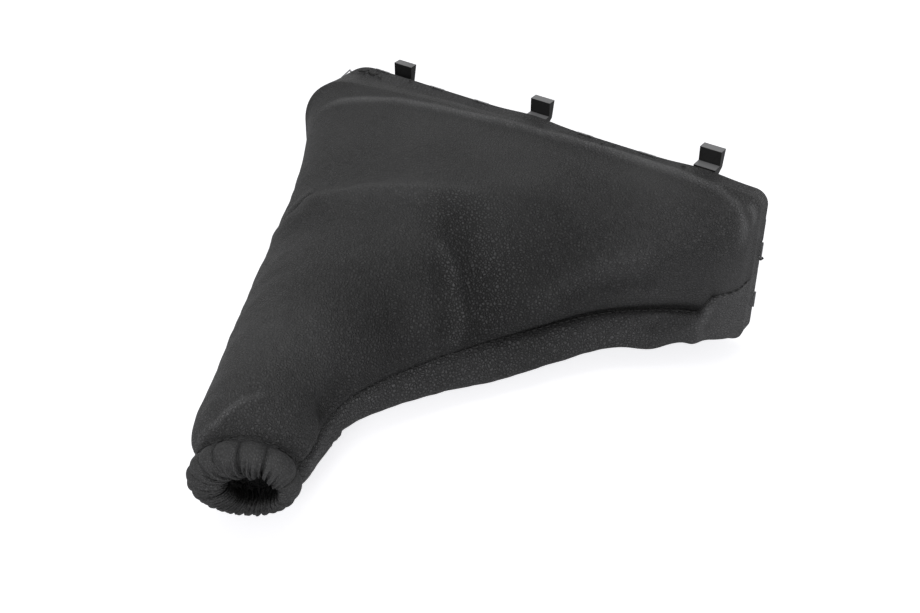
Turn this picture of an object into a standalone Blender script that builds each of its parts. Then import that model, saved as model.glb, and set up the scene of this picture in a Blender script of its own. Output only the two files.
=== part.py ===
# Handbrake gaiter: a leather boot in two halves, wrapped over a moulded clip frame and gathered
# round the lever at the neck. It lies on its long side, as it would come to rest.
# Metres, +Z up. +X runs along the frame, +Y from the neck to the frame's opening.
# The build frame has the frame's rear face at y = 0, its right end near x = 0 and the floor at z = 0.
import math

import bmesh
import bpy
import numpy as np

# Frame moulding
FRAME_LENGTH = 0.217          # outer length of the ring, along x
FRAME_HEIGHT = 0.065          # outer height of the ring
FRAME_RIGHT = 0.001           # x of the outer right face
FRAME_BOTTOM = 0.0075         # z of the outer lower face, held up by the lower hooks
CORNER_RIGHT = 0.0045         # outer corner radius at the right end
CORNER_LEFT = 0.0225          # outer corner radius at the left end
SMALLEST_CORNER = 0.001       # inner corners are never sharper than this
WALL = 0.0022                 # thickness of the ring's wall
LIP_WIDTH = 0.007             # width of the flat rear flange, measured from the outer face
LIP_THICKNESS = 0.0015
FRONT_DEPTH = 0.0052          # depth of the wall where the curved front edge is shallowest
FRONT_RADIUS = 0.714          # the front edge follows the curve of the console
FRONT_X = -0.055              # x of the shallowest place
FRAME_TOP = FRAME_BOTTOM + FRAME_HEIGHT
FRAME_MIDDLE = FRAME_BOTTOM + FRAME_HEIGHT / 2
FRAME_LEFT = FRAME_RIGHT - FRAME_LENGTH

CUT_MARGIN = 0.02             # what cuts the moulding reaches this far past it

# Hooks on both long sides: x, and how far the upper hook's arm stands above the frame's face
RIGHT_HOOK_X = FRAME_RIGHT - 0.0275
MIDDLE_HOOK_X = FRAME_RIGHT - FRAME_LENGTH / 2
LEFT_HOOK_X = FRAME_LEFT + 0.034
HOOKS = ((RIGHT_HOOK_X, 0.0033), (MIDDLE_HOOK_X, 0.0017), (LEFT_HOOK_X, -0.0015))
HOOK_WIDTH = 0.0096
HOOK_LIP = 0.0063             # height of the lip above its arm
HOOK_REACH = 0.004            # the lip's front stands this far behind the frame's rear face
HOOK_ARM = 0.0014             # thickness of the arm where it meets the lip
HOOK_ROOT = 0.006             # depth of the gusset where the arm leaves the flange
HOOK_BITE = 0.0004            # the arm starts this far inside the flange
HOOK_FOOT = 0.0024            # thickness of the lip at the arm
HOOK_BARB = 0.004             # thickness of the lip at its tip

# A plain tab on the right end
TAB_RISE = 0.0135             # its middle lies this far above the frame's
TAB_WIDTH = 0.010
TAB_REACH = 0.0045
TAB_THICKNESS = 0.0015
TAB_SETBACK = 0.0002          # its outer face lies this far inside the wall's

# Leather
LEATHER = 0.0012
GAP = 0.0003                  # clearance between touching pieces
WRAP = LEATHER + GAP          # the leather's outer face stands this far off the wall
RAW_EDGE_Y = -0.0008          # where the leather's raw edge ends on the wall
EDGE_RISE = 0.0013            # the edge rides up over the hooks whose arms stand proud
EDGE_RISE_WIDTH = 0.013
RIDGE_MARGIN = 0.0013         # the leather turns in this far beyond the wall's front edge
RIDGE_RISE = 0.0007           # and stands this much proud of it
RIDGE_WIDTH = (0.3, 0.02)     # in shares behind and before the ridge
FLAP = 0.005                  # seam allowance turned inwards
FLAP_FROM = 0.15              # the allowances start and stop at these shares of the length
FLAP_TO = 0.975

# The neck's stitch line, and the seams' start on the frame's short sides
NECK_RIGHT = (-0.080, -0.191, 0.027)
NECK_LEFT = (-0.115, -0.2105, 0.024)
NECK_CROWN = 0.0445
NECK_BELLY = 0.0055
SEAM_DROP = 0.002             # the seams start this far below the frame's middle

# The boot runs straight from the frame (0) to the neck (1), plus these departures at each station
STATION = (0.0, 0.08, 0.16, 0.30, 0.45, 0.60, 0.75, 0.88, 0.95, 1.0)
RIGHT_BOW = (
    (0.0, 0.0, 0.0),
    (0.0046, 0.0044, -0.0013),
    (-0.0023, 0.0070, -0.0052),
    (-0.0188, 0.0125, -0.0079),
    (-0.0284, 0.0108, -0.0088),
    (-0.0330, 0.0071, -0.0074),
    (-0.0326, 0.0045, -0.0072),
    (-0.0209, 0.0061, -0.0048),
    (-0.0081, 0.0019, -0.0020),
    (0.0, 0.0, 0.0),
)
LEFT_BOW = (
    (0.0, 0.0, 0.0),
    (-0.0037, 0.0096, -0.0009),
    (-0.0049, 0.0142, -0.0018),
    (-0.0053, 0.0146, -0.0018),
    (-0.0066, 0.0135, -0.0007),
    (-0.0090, 0.0163, -0.0006),
    (-0.0094, 0.0161, -0.0005),
    (-0.0072, 0.0102, -0.0002),
    (-0.0044, 0.0032, 0.0003),
    (0.0, 0.0, 0.0),
)
CROWN_BOW = (0.0, 0.0009, 0.0007, 0.0004, 0.0008, 0.0017, 0.0036, 0.0050, 0.0035, 0.0)
BELLY_BOW = (0.0, 0.0020, 0.0011, -0.0044, -0.0048, -0.0037, -0.0036, -0.0036, -0.0035, 0.0)
ROUNDNESS = (0.0, 0.1, 0.35, 0.8, 1.0, 1.0, 1.0, 1.0, 1.0, 1.0)
LEAN = (0.0, 0.0, 0.0, 0.0, 0.0, 0.0, 2.0, 7.0, 11.0, 13.0)          # degrees the section leans outwards
UPPER_ROLL = (0.0, 0.001, 0.003, 0.0045, 0.0045, 0.003, 0.001, 0.0, 0.0, 0.0)
LOWER_ROLL = (0.0, -0.002, 0.001, 0.009, 0.0115, 0.007, 0.0015, 0.0005, 0.0005, 0.0)
UPPER_ROLL_REACH = 0.22       # the roll over the right seam ends at these shares of the way across
LOWER_ROLL_REACH = 0.45
UPPER_POWER = 2.0             # 2 is an ellipse, more is squarer
LOWER_POWER = 2.6
RIDGE_FADE = 0.24             # the frame's curved edge is felt this far into the boot
# A fold hides a step of the right seam: its height, where it starts, its run, and how fast it eases
SEAM_STEP = (0.0053, 0.12, 0.02, 0.04)

SEAM_CALM = 0.05              # folds die out towards the seams and the ridge over these shares
RIDGE_CALM = 0.05

# Folds and dents: height (a dent is negative), half width, and the places they run through, each
# as its share of the way from the frame to the neck and from the right seam to the left
UPPER_FOLDS = (
    (-0.0035, 0.0045, ((0.46, 0.83), (0.425, 0.782), (0.36, 0.755))),
    (0.0020, 0.0080, ((0.50, 0.80), (0.45, 0.74))),
    (0.0025, 0.0090, ((0.435, 0.70), (0.36, 0.545), (0.31, 0.43))),
    (-0.0038, 0.0080, ((0.395, 0.39), (0.445, 0.30), (0.505, 0.135))),
    (-0.0018, 0.0060, ((0.50, 0.302), (0.575, 0.125))),
    (-0.0022, 0.0070, ((0.65, 0.22), (0.665, 0.13))),
    (-0.0025, 0.0090, ((0.80, 0.09), (0.87, 0.07))),
    (0.0015, 0.0100, ((0.115, 0.113), (0.13, 0.09))),
    (0.0020, 0.0075, ((0.235, 0.14), (0.30, 0.145), (0.405, 0.122))),
    (-0.0022, 0.0045, ((0.235, 0.077), (0.30, 0.095), (0.37, 0.10))),
)
LOWER_FOLDS = (
    (0.0020, 0.0060, ((0.255, 0.02), (0.19, 0.158))),
    (-0.0030, 0.0050, ((0.20, 0.035), (0.225, 0.055))),
    (0.0045, 0.0035, ((0.125, 0.02), (0.135, 0.05), (0.12, 0.135))),
    (0.0012, 0.0025, ((0.50, 0.03), (0.515, 0.12))),
    (-0.0020, 0.0045, ((0.08, 0.045), (0.11, 0.09))),
)

# Rows and columns of the leather's faces, finer where it bends more
BAND_ROWS = (-1.0, -0.45, -0.08)
NEAR_ROWS = (0.0, 0.035, 0.07, 0.10, 0.122, 0.14, 0.165, 0.20)
BODY_ROWS = (0.235, 0.87, 14)
NECK_ROWS = (0.905, 0.94, 0.97, 1.0)
OUTLINE_COLUMNS = (3, 4, 9, 7, 1)

# Gathered hem: one strip of leather folded double, sewn inside the neck's end
HEM_RADIUS = 0.020            # the radius that the section below is drawn for
HEM_LEATHER = 0.001
HOLE_RADIUS = 0.0098          # the hole that the gathers leave, for the same hem radius
HOLE_SHIFT = 0.003            # how far the hole sits to the right of the neck's middle
HEM_OVERHANG = 0.13           # share by which the gathers reach further at the top, and less at the bottom
# Along the neck's axis from the stitch line, and radius, from the outer root over the tip to the inner root
HEM_SECTION = (
    (-0.003, 0.0183),
    (0.0003, 0.0184),
    (0.0026, 0.0198),
    (0.0054, 0.0202),
    (0.0080, 0.0189),
    (0.0097, 0.0160),
    (0.0101, 0.0130),
    (0.0091, HOLE_RADIUS + 0.0009),
    (0.0069, HOLE_RADIUS),
    (0.0042, HOLE_RADIUS + 0.0008),
    (0.0010, HOLE_RADIUS + 0.0033),
    (-0.003, HOLE_RADIUS + 0.0063),
)
GATHERS = 15
GATHER_HEIGHT = 0.0013
GATHER_SHARE = ((0.0, 0.0), (0.12, 0.15), (0.4, 1.0), (0.6, 0.85), (0.75, 0.3), (1.0, 0.0))
ELASTIC_RADIUS = 0.0012
ELASTIC_RING = HOLE_RADIUS + 0.0034   # radius of the elastic's own ring, for the same hem radius
ELASTIC_AHEAD = 0.0060        # its place along the neck's axis

# Staples through the leather and the wall
STAPLE_CROWN = 0.0075
STAPLE_WIRE = 0.0006
STAPLE_Y = -0.0022
STAPLE_X = (RIGHT_HOOK_X - 0.025, MIDDLE_HOOK_X + 0.0265, MIDDLE_HOOK_X - 0.0265, LEFT_HOOK_X + 0.024,
            LEFT_HOOK_X - 0.007)
SIDE_STAPLE_RISE = 0.008      # the two staples on the right end, above and below its middle
SIDE_STAPLE_DROP = 0.016
STAPLE_LEG = 0.0044
STAPLE_HOLE = 0.0013
STAPLE_SLACK = 0.0004         # over the leather, which rises a little beside the hooks

BLACK_PLASTIC = (0.022, 0.022, 0.023, 1.0)
BLACK_LEATHER = (0.036, 0.036, 0.037, 1.0)
HEM_BLACK = (0.030, 0.030, 0.031, 1.0)
RUBBER_BLACK = (0.015, 0.015, 0.015, 1.0)
STEEL = (0.45, 0.45, 0.46, 1.0)


def clear_scene():
    for item in list(bpy.data.objects):
        bpy.data.objects.remove(item, do_unlink=True)


def make_collection(name):
    collection = bpy.data.collections.new(name)
    bpy.context.scene.collection.children.link(collection)
    return collection


def make_material(name, colour, roughness, metallic=0.0):
    material = bpy.data.materials.new(name)
    material.use_nodes = True
    shader = material.node_tree.nodes["Principled BSDF"]
    shader.inputs["Base Color"].default_value = colour
    shader.inputs["Roughness"].default_value = roughness
    shader.inputs["Metallic"].default_value = metallic
    material.diffuse_color = colour
    return material


def add_object(name, data, collection, parent, material):
    item = bpy.data.objects.new(name, data)
    collection.objects.link(item)
    item.parent = parent
    if material is not None:
        data.materials.append(material)
    return item


def make_cutter(item):
    item.hide_render = True
    item.display_type = "WIRE"
    return item


def add_boolean(item, other, operation):
    modifier = item.modifiers.new(operation.lower() + "_" + other.name, "BOOLEAN")
    modifier.object = other
    modifier.operation = operation
    modifier.solver = "EXACT"


def smooth_run(values, share):
    """A smooth curve through one value a station, with slopes from the neighbours."""
    table = np.asarray(values, float)
    stations = np.asarray(STATION, float)
    single = table.ndim == 1
    if single:
        table = table[:, None]
    steps = (table[1:] - table[:-1]) / (stations[1:] - stations[:-1])[:, None]
    slopes = np.vstack([steps[:1], 0.5 * (steps[1:] + steps[:-1]), steps[-1:]])
    share = np.asarray(share, float)
    cell = np.clip(np.searchsorted(stations, share) - 1, 0, len(stations) - 2)
    span = (stations[cell + 1] - stations[cell])[..., None]
    t = (share - stations[cell])[..., None] / span
    run = (
        (2 * t**3 - 3 * t**2 + 1) * table[cell]
        + (t**3 - 2 * t**2 + t) * span * slopes[cell]
        + (3 * t**2 - 2 * t**3) * table[cell + 1]
        + (t**3 - t**2) * span * slopes[cell + 1]
    )
    return run[..., 0] if single else run


def front_depth(x):
    """Depth of the frame's wall at x, from the circle that its front edge follows."""
    return FRONT_DEPTH + FRONT_RADIUS - np.sqrt(FRONT_RADIUS**2 - (x - FRONT_X) ** 2)


def outline_runs(half_length, height):
    """Lengths of the straights and corners of one leather half on the frame, right seam to left."""
    right = CORNER_RIGHT + WRAP
    left = CORNER_LEFT + WRAP
    flat = 2 * half_length - right - left
    runs = (height - right, right * math.pi / 2, flat, left * math.pi / 2, height - left)
    return right, left, runs


def half_outline(share, half_length, height):
    """Unit outline of one leather half on the frame, by its run from the right seam to the left."""
    right, left, runs = outline_runs(half_length, height)
    ends = np.concatenate([[0.0], np.cumsum(runs)])
    run = np.asarray(share, float) * ends[-1]
    turn_right = np.clip((run - ends[1]) / right, 0.0, math.pi / 2)
    turn_left = np.clip((run - ends[3]) / left, 0.0, math.pi / 2)
    rise = np.clip(run, 0.0, ends[1])
    along = np.clip(run - ends[2], 0.0, runs[2])
    fall = np.clip(run - ends[4], 0.0, runs[4])
    x = half_length - right * (1 - np.cos(turn_right)) - along - left * np.sin(turn_left)
    z = rise + right * np.sin(turn_right) - left * (1 - np.cos(turn_left)) - fall
    return x / half_length, z / height


def outline_shares(half_length, height):
    """Shares of the half outline at which the leather is divided, finer in the corners."""
    runs = outline_runs(half_length, height)[2]
    ends = np.concatenate([[0.0], np.cumsum(runs)]) / sum(runs)
    pieces = [np.linspace(ends[i], ends[i + 1], count + 1)[:-1] for i, count in enumerate(OUTLINE_COLUMNS)]
    return np.concatenate(pieces + [[1.0]])


def frame_corner(x):
    """Where a seam starts at the ridge, on the frame's short side at x."""
    return np.array([x, -(float(front_depth(x)) + RIDGE_MARGIN), FRAME_MIDDLE - SEAM_DROP])


def frame_span(upper):
    """Half length and height of one leather half on the frame."""
    face = FRAME_TOP + WRAP if upper else FRAME_BOTTOM - WRAP
    return FRAME_LENGTH / 2 + WRAP, abs(face - (FRAME_MIDDLE - SEAM_DROP))


def bowed(start, end, bow, share):
    """A straight run from the frame to the neck, plus its departures."""
    straight = np.multiply.outer(1 - share, start) + np.multiply.outer(share, end)
    return straight + smooth_run(bow, share)


def section_frame(share):
    """The two seam points, half chord, and the upward direction of the section at a share."""
    right = bowed(frame_corner(FRAME_RIGHT + WRAP), NECK_RIGHT, RIGHT_BOW, share)
    left = bowed(frame_corner(FRAME_LEFT - WRAP), NECK_LEFT, LEFT_BOW, share)
    height, start, run, ease = SEAM_STEP
    step = np.clip((share - start) / run, 0.0, 1.0)
    fading = np.exp(-np.clip(share - start - run, 0.0, 1.0) / ease)
    right[..., 2] -= height * step**2 * (3 - 2 * step) * fading
    lean = np.radians(smooth_run(LEAN, share))
    half = (right - left) / 2
    level = np.linalg.norm(half[..., :2], axis=-1)
    ahead = np.stack([half[..., 1], -half[..., 0], 0 * level], axis=-1) / level[..., None]
    up = ahead * np.sin(lean)[..., None]
    up[..., 2] = np.cos(lean)
    return right, left, half, ahead, up


def distance_to_run(points, run):
    """Shortest distance from each point to a broken line."""
    best = np.full(points.shape[:-1], np.inf)
    for start, end in zip(run[:-1], run[1:]):
        start = np.array(start)
        span = np.array(end) - start
        t = np.clip(((points - start) @ span) / (span @ span), 0.0, 1.0)
        nearest = start + t[..., None] * span
        best = np.minimum(best, np.linalg.norm(points - nearest, axis=-1))
    return best


def calm_surface(share, across, upper):
    """Outer face of one leather half before its folds, and its outward directions.

    share is -1 at the raw edge, 0 at the ridge over the frame's front edge and 1 at the neck;
    across is 0 at the right seam and 1 at the left seam.
    """
    inside = np.clip(share, 0.0, 1.0)
    right, left, half, ahead, up = section_frame(inside)
    middle = (right + left) / 2
    if upper:
        edge = bowed(FRAME_TOP + WRAP, NECK_CROWN, CROWN_BOW, inside)
    else:
        edge = bowed(FRAME_BOTTOM - WRAP, NECK_BELLY, BELLY_BOW, inside)
    roundness = np.clip(smooth_run(ROUNDNESS, inside), 0.0, 1.0)
    frame_x, frame_z = half_outline(across, *frame_span(upper))
    power = UPPER_POWER if upper else LOWER_POWER
    cosine = np.cos(math.pi * across)
    sine = np.sin(math.pi * across)
    round_x = np.sign(cosine) * np.abs(cosine) ** (2 / power)
    round_z = np.abs(sine) ** (2 / power)
    x = (1 - roundness) * frame_x + roundness * round_x
    z = (1 - roundness) * frame_z + roundness * round_z
    height = edge - middle[..., 2]
    points = middle + half * x[..., None] + up * (height * z)[..., None]
    # each half rolls out over the seam on the right
    wide = np.linalg.norm(half, axis=-1)
    side = half / wide[..., None]
    reach = UPPER_ROLL_REACH if upper else LOWER_ROLL_REACH
    roll = smooth_run(UPPER_ROLL if upper else LOWER_ROLL, inside)
    roll = roll * np.sin(math.pi * np.clip(across / reach, 0.0, 1.0))
    points = points + side * roll[..., None]
    # the leather turns over the frame's curved front edge
    right_y = frame_corner(FRAME_RIGHT + WRAP)[1]
    left_y = frame_corner(FRAME_LEFT - WRAP)[1]
    chord_y = right_y + (left_y - right_y) * (1 - x) / 2
    ridge_y = -(front_depth(points[..., 0]) + RIDGE_MARGIN)
    fade = np.clip(1 - inside / RIDGE_FADE, 0.0, 1.0) ** 2
    points[..., 1] += (ridge_y - chord_y) * fade
    back = np.clip(-share, 0.0, 1.0)
    points[..., 1] = points[..., 1] * (1 - back) + RAW_EDGE_Y * back
    outward = side * (x / wide)[..., None] + up * (z / np.abs(height) * np.sign(height))[..., None]
    outward /= np.linalg.norm(outward, axis=-1)[..., None]
    return points, outward


def boot_surface(share, across, upper):
    """Outer face of one leather half with its folds, its ridge and the rise of its raw edge."""
    points, outward = calm_surface(share, across, upper)
    lift = np.zeros(points.shape[:-1])
    for rise, width, run in UPPER_FOLDS if upper else LOWER_FOLDS:
        places = np.array(run)
        path = calm_surface(places[:, 0], places[:, 1], upper)[0]
        lift += rise * np.exp(-((distance_to_run(points, path) / width) ** 2))
    calm = np.clip(across / SEAM_CALM, 0.0, 1.0) * np.clip((1 - across) / SEAM_CALM, 0.0, 1.0)
    lift *= calm * np.clip(share / RIDGE_CALM, 0.0, 1.0)
    # stretched over the wall's front edge, the leather makes a low ridge
    behind, before = RIDGE_WIDTH
    lift += RIDGE_RISE * np.exp(-((share / np.where(share < 0, behind, before)) ** 2))
    points += outward * lift[..., None]
    if upper:
        back = np.clip(-share, 0.0, 1.0)
        for x, arm_rise in HOOKS:
            if arm_rise > 0:
                points[..., 2] += EDGE_RISE * back * np.exp(-(((points[..., 0] - x) / EDGE_RISE_WIDTH) ** 2))
    # a hair's breadth to the other half at the seams
    points[..., 2] += (GAP / 2) * (1 if upper else -1)
    # what would sag below the floor lies flat on it
    points[..., 2] = np.maximum(points[..., 2], 0.0)
    return points


def panel_shares():
    """Rows of the leather's grid, from the raw edge to the neck."""
    return np.concatenate([BAND_ROWS, NEAR_ROWS, np.linspace(*BODY_ROWS), NECK_ROWS])


def make_panel(name, upper, collection, parent, material):
    """One leather half: the surface from raw edge to neck, with its seam allowances turned in."""
    shares = panel_shares()
    crosswise = outline_shares(*frame_span(upper))
    grid_share, grid_across = np.meshgrid(shares, crosswise, indexing="ij")
    points = boot_surface(grid_share, grid_across, upper)
    side = points[:, :1] - points[:, -1:]
    side[..., 2] = 0
    side /= np.linalg.norm(side, axis=-1)[..., None]
    right_flap = points[:, :1] - side * FLAP
    left_flap = points[:, -1:] + side * FLAP
    points = np.concatenate([right_flap, points, left_flap], axis=1)
    rows, columns = points.shape[:2]
    mesh = bmesh.new()
    verts = {}
    flapped = (shares >= FLAP_FROM) & (shares <= FLAP_TO)
    for row in range(rows):
        for column in range(columns):
            edge = column in (0, columns - 1)
            if edge and not flapped[row]:
                continue
            verts[row, column] = mesh.verts.new(points[row, column])
    for row in range(rows - 1):
        for column in range(columns - 1):
            corners = ((row, column), (row, column + 1), (row + 1, column + 1), (row + 1, column))
            if all(corner in verts for corner in corners):
                loop = [verts[corner] for corner in corners]
                mesh.faces.new(loop if upper else loop[::-1])
    data = bpy.data.meshes.new(name)
    mesh.to_mesh(data)
    mesh.free()
    panel = add_object(name, data, collection, parent, material)
    data.shade_smooth()
    solidify = panel.modifiers.new("leather", "SOLIDIFY")
    solidify.thickness = LEATHER
    solidify.offset = -1.0
    return panel


def frame_outline(inset):
    """Outline of the frame, x and z, inset from its outer face."""
    x_high = FRAME_RIGHT - inset
    x_low = FRAME_LEFT + inset
    z_low = FRAME_BOTTOM + inset
    z_high = FRAME_TOP - inset
    right = max(CORNER_RIGHT - inset, SMALLEST_CORNER)
    left = max(CORNER_LEFT - inset, SMALLEST_CORNER)
    corners = (
        (x_high - right, z_low + right, right, -90, 5),
        (x_high - right, z_high - right, right, 0, 5),
        (x_low + left, z_high - left, left, 90, 10),
        (x_low + left, z_low + left, left, 180, 10),
    )
    points = []
    for x, z, radius, start, steps in corners:
        for step in range(steps + 1):
            angle = math.radians(start + 90 * step / steps)
            points.append((x + radius * math.cos(angle), z + radius * math.sin(angle)))
    return points


def flat_curve(name, outlines, thickness):
    """A filled flat outline, or a ring between outlines, in the curve's own x and y."""
    curve = bpy.data.curves.new(name, "CURVE")
    curve.dimensions = "2D"
    curve.fill_mode = "BOTH"
    curve.extrude = thickness / 2
    for outline in outlines:
        spline = curve.splines.new("POLY")
        spline.points.add(len(outline) - 1)
        for point, (x, y) in zip(spline.points, outline):
            point.co = (x, y, 0.0, 1.0)
        spline.use_cyclic_u = True
    return curve


def curve_to_mesh(item, collection, parent, material):
    """Replace a curve object by a welded mesh object of the same name and place."""
    bpy.context.view_layer.update()
    graph = bpy.context.evaluated_depsgraph_get()
    data = bpy.data.meshes.new_from_object(item.evaluated_get(graph))
    tidy = bmesh.new()
    tidy.from_mesh(data)
    bmesh.ops.remove_doubles(tidy, verts=tidy.verts, dist=0.00001)
    bmesh.ops.recalc_face_normals(tidy, faces=tidy.faces)
    tidy.to_mesh(data)
    tidy.free()
    name = item.name
    location = item.location.copy()
    rotation = item.rotation_euler.copy()
    bpy.data.objects.remove(item, do_unlink=True)
    data.name = name
    data.materials.clear()
    solid = add_object(name, data, collection, parent, material)
    solid.location = location
    solid.rotation_euler = rotation
    return solid


def make_prism(name, outlines, thickness, location, rotation, collection, parent, material=None):
    curve = flat_curve(name, outlines, thickness)
    item = add_object(name, curve, collection, parent, None)
    item.location = location
    item.rotation_euler = rotation
    return curve_to_mesh(item, collection, parent, material)


def hook_profile(rise, up):
    """Side view of a hook in y and z: a gusseted arm behind the flange, and a lip that thickens to a barb."""
    face = FRAME_TOP if up else FRAME_BOTTOM
    sign = 1 if up else -1
    steps = (
        (-HOOK_BITE, rise - HOOK_ROOT),
        (HOOK_REACH + HOOK_FOOT, rise - HOOK_ARM),
        (HOOK_REACH + HOOK_BARB, rise + HOOK_LIP),
        (HOOK_REACH, rise + HOOK_LIP),
        (HOOK_REACH, rise),
        (-HOOK_BITE, rise),
    )
    return [(y, face + sign * z) for y, z in steps]


def make_frame(collection, cutters, parent, material):
    """The moulding: wall and rear flange in one ring, cut to the console's curve, with its hooks."""
    depth = max(float(front_depth(FRAME_LEFT)), float(front_depth(FRAME_RIGHT))) + CUT_MARGIN
    stand = (math.radians(90), 0.0, 0.0)
    frame = make_prism(
        "clip_frame", [frame_outline(0.0), frame_outline(LIP_WIDTH)], depth, (0.0, -depth / 2, 0.0), stand,
        collection, parent, material,
    )
    hollow_place = (0.0, -LIP_THICKNESS - depth / 2, 0.0)
    hollow = make_prism("wall_hollow", [frame_outline(WALL)], depth, hollow_place, stand, cutters, parent)
    add_boolean(frame, make_cutter(hollow), "DIFFERENCE")
    # the wall in front of the console's curve is cut away
    low_x = FRAME_LEFT - CUT_MARGIN
    high_x = FRAME_RIGHT + CUT_MARGIN
    edge = [(x, -float(front_depth(x))) for x in np.linspace(low_x, high_x, 49)]
    front = edge + [(high_x, -depth - CUT_MARGIN), (low_x, -depth - CUT_MARGIN)]
    cut_height = FRAME_HEIGHT + 2 * CUT_MARGIN
    level = (0.0, 0.0, 0.0)
    curve = make_prism("front_cut", [front], cut_height, (0.0, 0.0, FRAME_MIDDLE), level, cutters, parent)
    add_boolean(frame, make_cutter(curve), "DIFFERENCE")
    upright = (math.radians(90), 0.0, math.radians(90))
    for number, (x, upper_rise) in enumerate(HOOKS, 1):
        # the lower hooks reach down to the floor
        for place, rise, up in (("upper", upper_rise, True), ("lower", FRAME_BOTTOM - HOOK_LIP, False)):
            hook = make_prism(
                place + "_hook_" + str(number), [hook_profile(rise, up)], HOOK_WIDTH, (x, 0.0, 0.0), upright,
                cutters, parent,
            )
            add_boolean(frame, make_cutter(hook), "UNION")
    tab_low = FRAME_MIDDLE + TAB_RISE - TAB_WIDTH / 2
    tab_high = tab_low + TAB_WIDTH
    tab_outline = [(-HOOK_BITE, tab_low), (TAB_REACH, tab_low), (TAB_REACH, tab_high), (-HOOK_BITE, tab_high)]
    tab_x = FRAME_RIGHT - TAB_SETBACK - TAB_THICKNESS / 2
    tab = make_prism("end_tab", [tab_outline], TAB_THICKNESS, (tab_x, 0.0, 0.0), upright, cutters, parent)
    add_boolean(frame, make_cutter(tab), "UNION")
    return frame


def neck_frame():
    """Centre, axis, side and up of the neck's stitch line, with its half width and half height."""
    right, left, half, ahead, up = section_frame(np.array([1.0]))
    lean = math.radians(LEAN[-1])
    centre = ((right + left) / 2)[0]
    centre[2] = (NECK_CROWN + NECK_BELLY) / 2
    axis = ahead[0] * math.cos(lean) - np.array([0.0, 0.0, math.sin(lean)])
    half_width = float(np.linalg.norm(half[0]))
    half_height = (NECK_CROWN - NECK_BELLY) / 2
    return centre, axis, half[0] / half_width, up[0], half_width, half_height


def around_neck(along, radius, angle):
    """Points at a distance along the neck's axis and a radius drawn for HEM_RADIUS.

    The hole is off the neck's middle, and the gathers hang over it a little.
    """
    centre, axis, side, up, half_width, half_height = neck_frame()
    shift = HOLE_SHIFT * ((HEM_RADIUS - radius) / (HEM_RADIUS - HOLE_RADIUS)) ** 2
    return (
        centre
        + (along * (1 + HEM_OVERHANG * np.sin(angle)))[..., None] * axis
        + (radius * np.cos(angle) * half_width / HEM_RADIUS + shift)[..., None] * side
        + (radius * np.sin(angle) * half_height / HEM_RADIUS)[..., None] * up
    )


def ring_mesh(name, points):
    """Closed mesh of a grid that returns to itself both ways."""
    rows, columns = points.shape[:2]
    mesh = bmesh.new()
    verts = [[mesh.verts.new(points[row, column]) for column in range(columns)] for row in range(rows)]
    for row in range(rows):
        for column in range(columns):
            after = (row + 1) % rows
            beside = (column + 1) % columns
            near = verts[row]
            far = verts[after]
            mesh.faces.new((near[column], far[column], far[beside], near[beside]))
    bmesh.ops.recalc_face_normals(mesh, faces=mesh.faces)
    data = bpy.data.meshes.new(name)
    mesh.to_mesh(data)
    mesh.free()
    return data


def make_hem(collection, parent, material):
    """The gathered strip: a folded section carried round the neck, drawn up in gathers."""
    outer = np.array(HEM_SECTION)
    along_run = np.gradient(outer, axis=0)
    normal = np.stack([-along_run[:, 1], along_run[:, 0]], axis=-1)
    normal /= np.linalg.norm(normal, axis=-1)[:, None]
    inner = outer - normal * HEM_LEATHER
    section = np.concatenate([outer, inner[::-1]])
    normals = np.concatenate([normal, normal[::-1]])
    place = np.linspace(0.0, 1.0, len(outer))
    share = np.interp(place, *zip(*GATHER_SHARE))
    share = np.concatenate([share, share[::-1]])
    angle = np.linspace(0.0, 2 * math.pi, 5 * GATHERS, endpoint=False)
    wave = np.cos(GATHERS * angle + 0.8 * np.sin(3 * angle))
    lift = GATHER_HEIGHT * share[:, None] * wave[None, :]
    along = section[:, :1] + normals[:, :1] * lift
    radius = section[:, 1:] + normals[:, 1:] * lift
    points = around_neck(along, radius, np.broadcast_to(angle, along.shape))
    hem = add_object("gathered_hem", ring_mesh("gathered_hem", points), collection, parent, material)
    hem.data.shade_smooth()
    return hem


def make_elastic(collection, parent, material):
    """The elastic ring that draws the hem up, inside its fold."""
    angle = np.linspace(0.0, 2 * math.pi, 40, endpoint=False)
    turn = np.linspace(0.0, 2 * math.pi, 8, endpoint=False)
    grid_turn, grid_angle = np.meshgrid(turn, angle, indexing="ij")
    along = ELASTIC_AHEAD + ELASTIC_RADIUS * np.cos(grid_turn)
    radius = ELASTIC_RING + ELASTIC_RADIUS * np.sin(grid_turn)
    points = around_neck(along, radius, grid_angle)
    ring = add_object("elastic_ring", ring_mesh("elastic_ring", points), collection, parent, material)
    ring.data.shade_smooth()
    return ring


def staple_places():
    """Name, x, z and outward angle (degrees from +x towards +z) of each staple."""
    places = []
    for number, x in enumerate(STAPLE_X, 1):
        places.append(("staple_top_" + str(number), x, FRAME_TOP, 90))
        places.append(("staple_bottom_" + str(number), x, FRAME_BOTTOM, -90))
    places.append(("staple_right_1", FRAME_RIGHT, FRAME_MIDDLE + SIDE_STAPLE_RISE, 0))
    places.append(("staple_right_2", FRAME_RIGHT, FRAME_MIDDLE - SIDE_STAPLE_DROP, 0))
    centre_x = FRAME_LEFT + CORNER_LEFT
    corners = ((135, FRAME_TOP - CORNER_LEFT), (225, FRAME_BOTTOM + CORNER_LEFT))
    for number, (turn, centre_z) in enumerate(corners, 1):
        x = centre_x + CORNER_LEFT * math.cos(math.radians(turn))
        z = centre_z + CORNER_LEFT * math.sin(math.radians(turn))
        places.append(("staple_left_" + str(number), x, z, turn))
    return places


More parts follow.
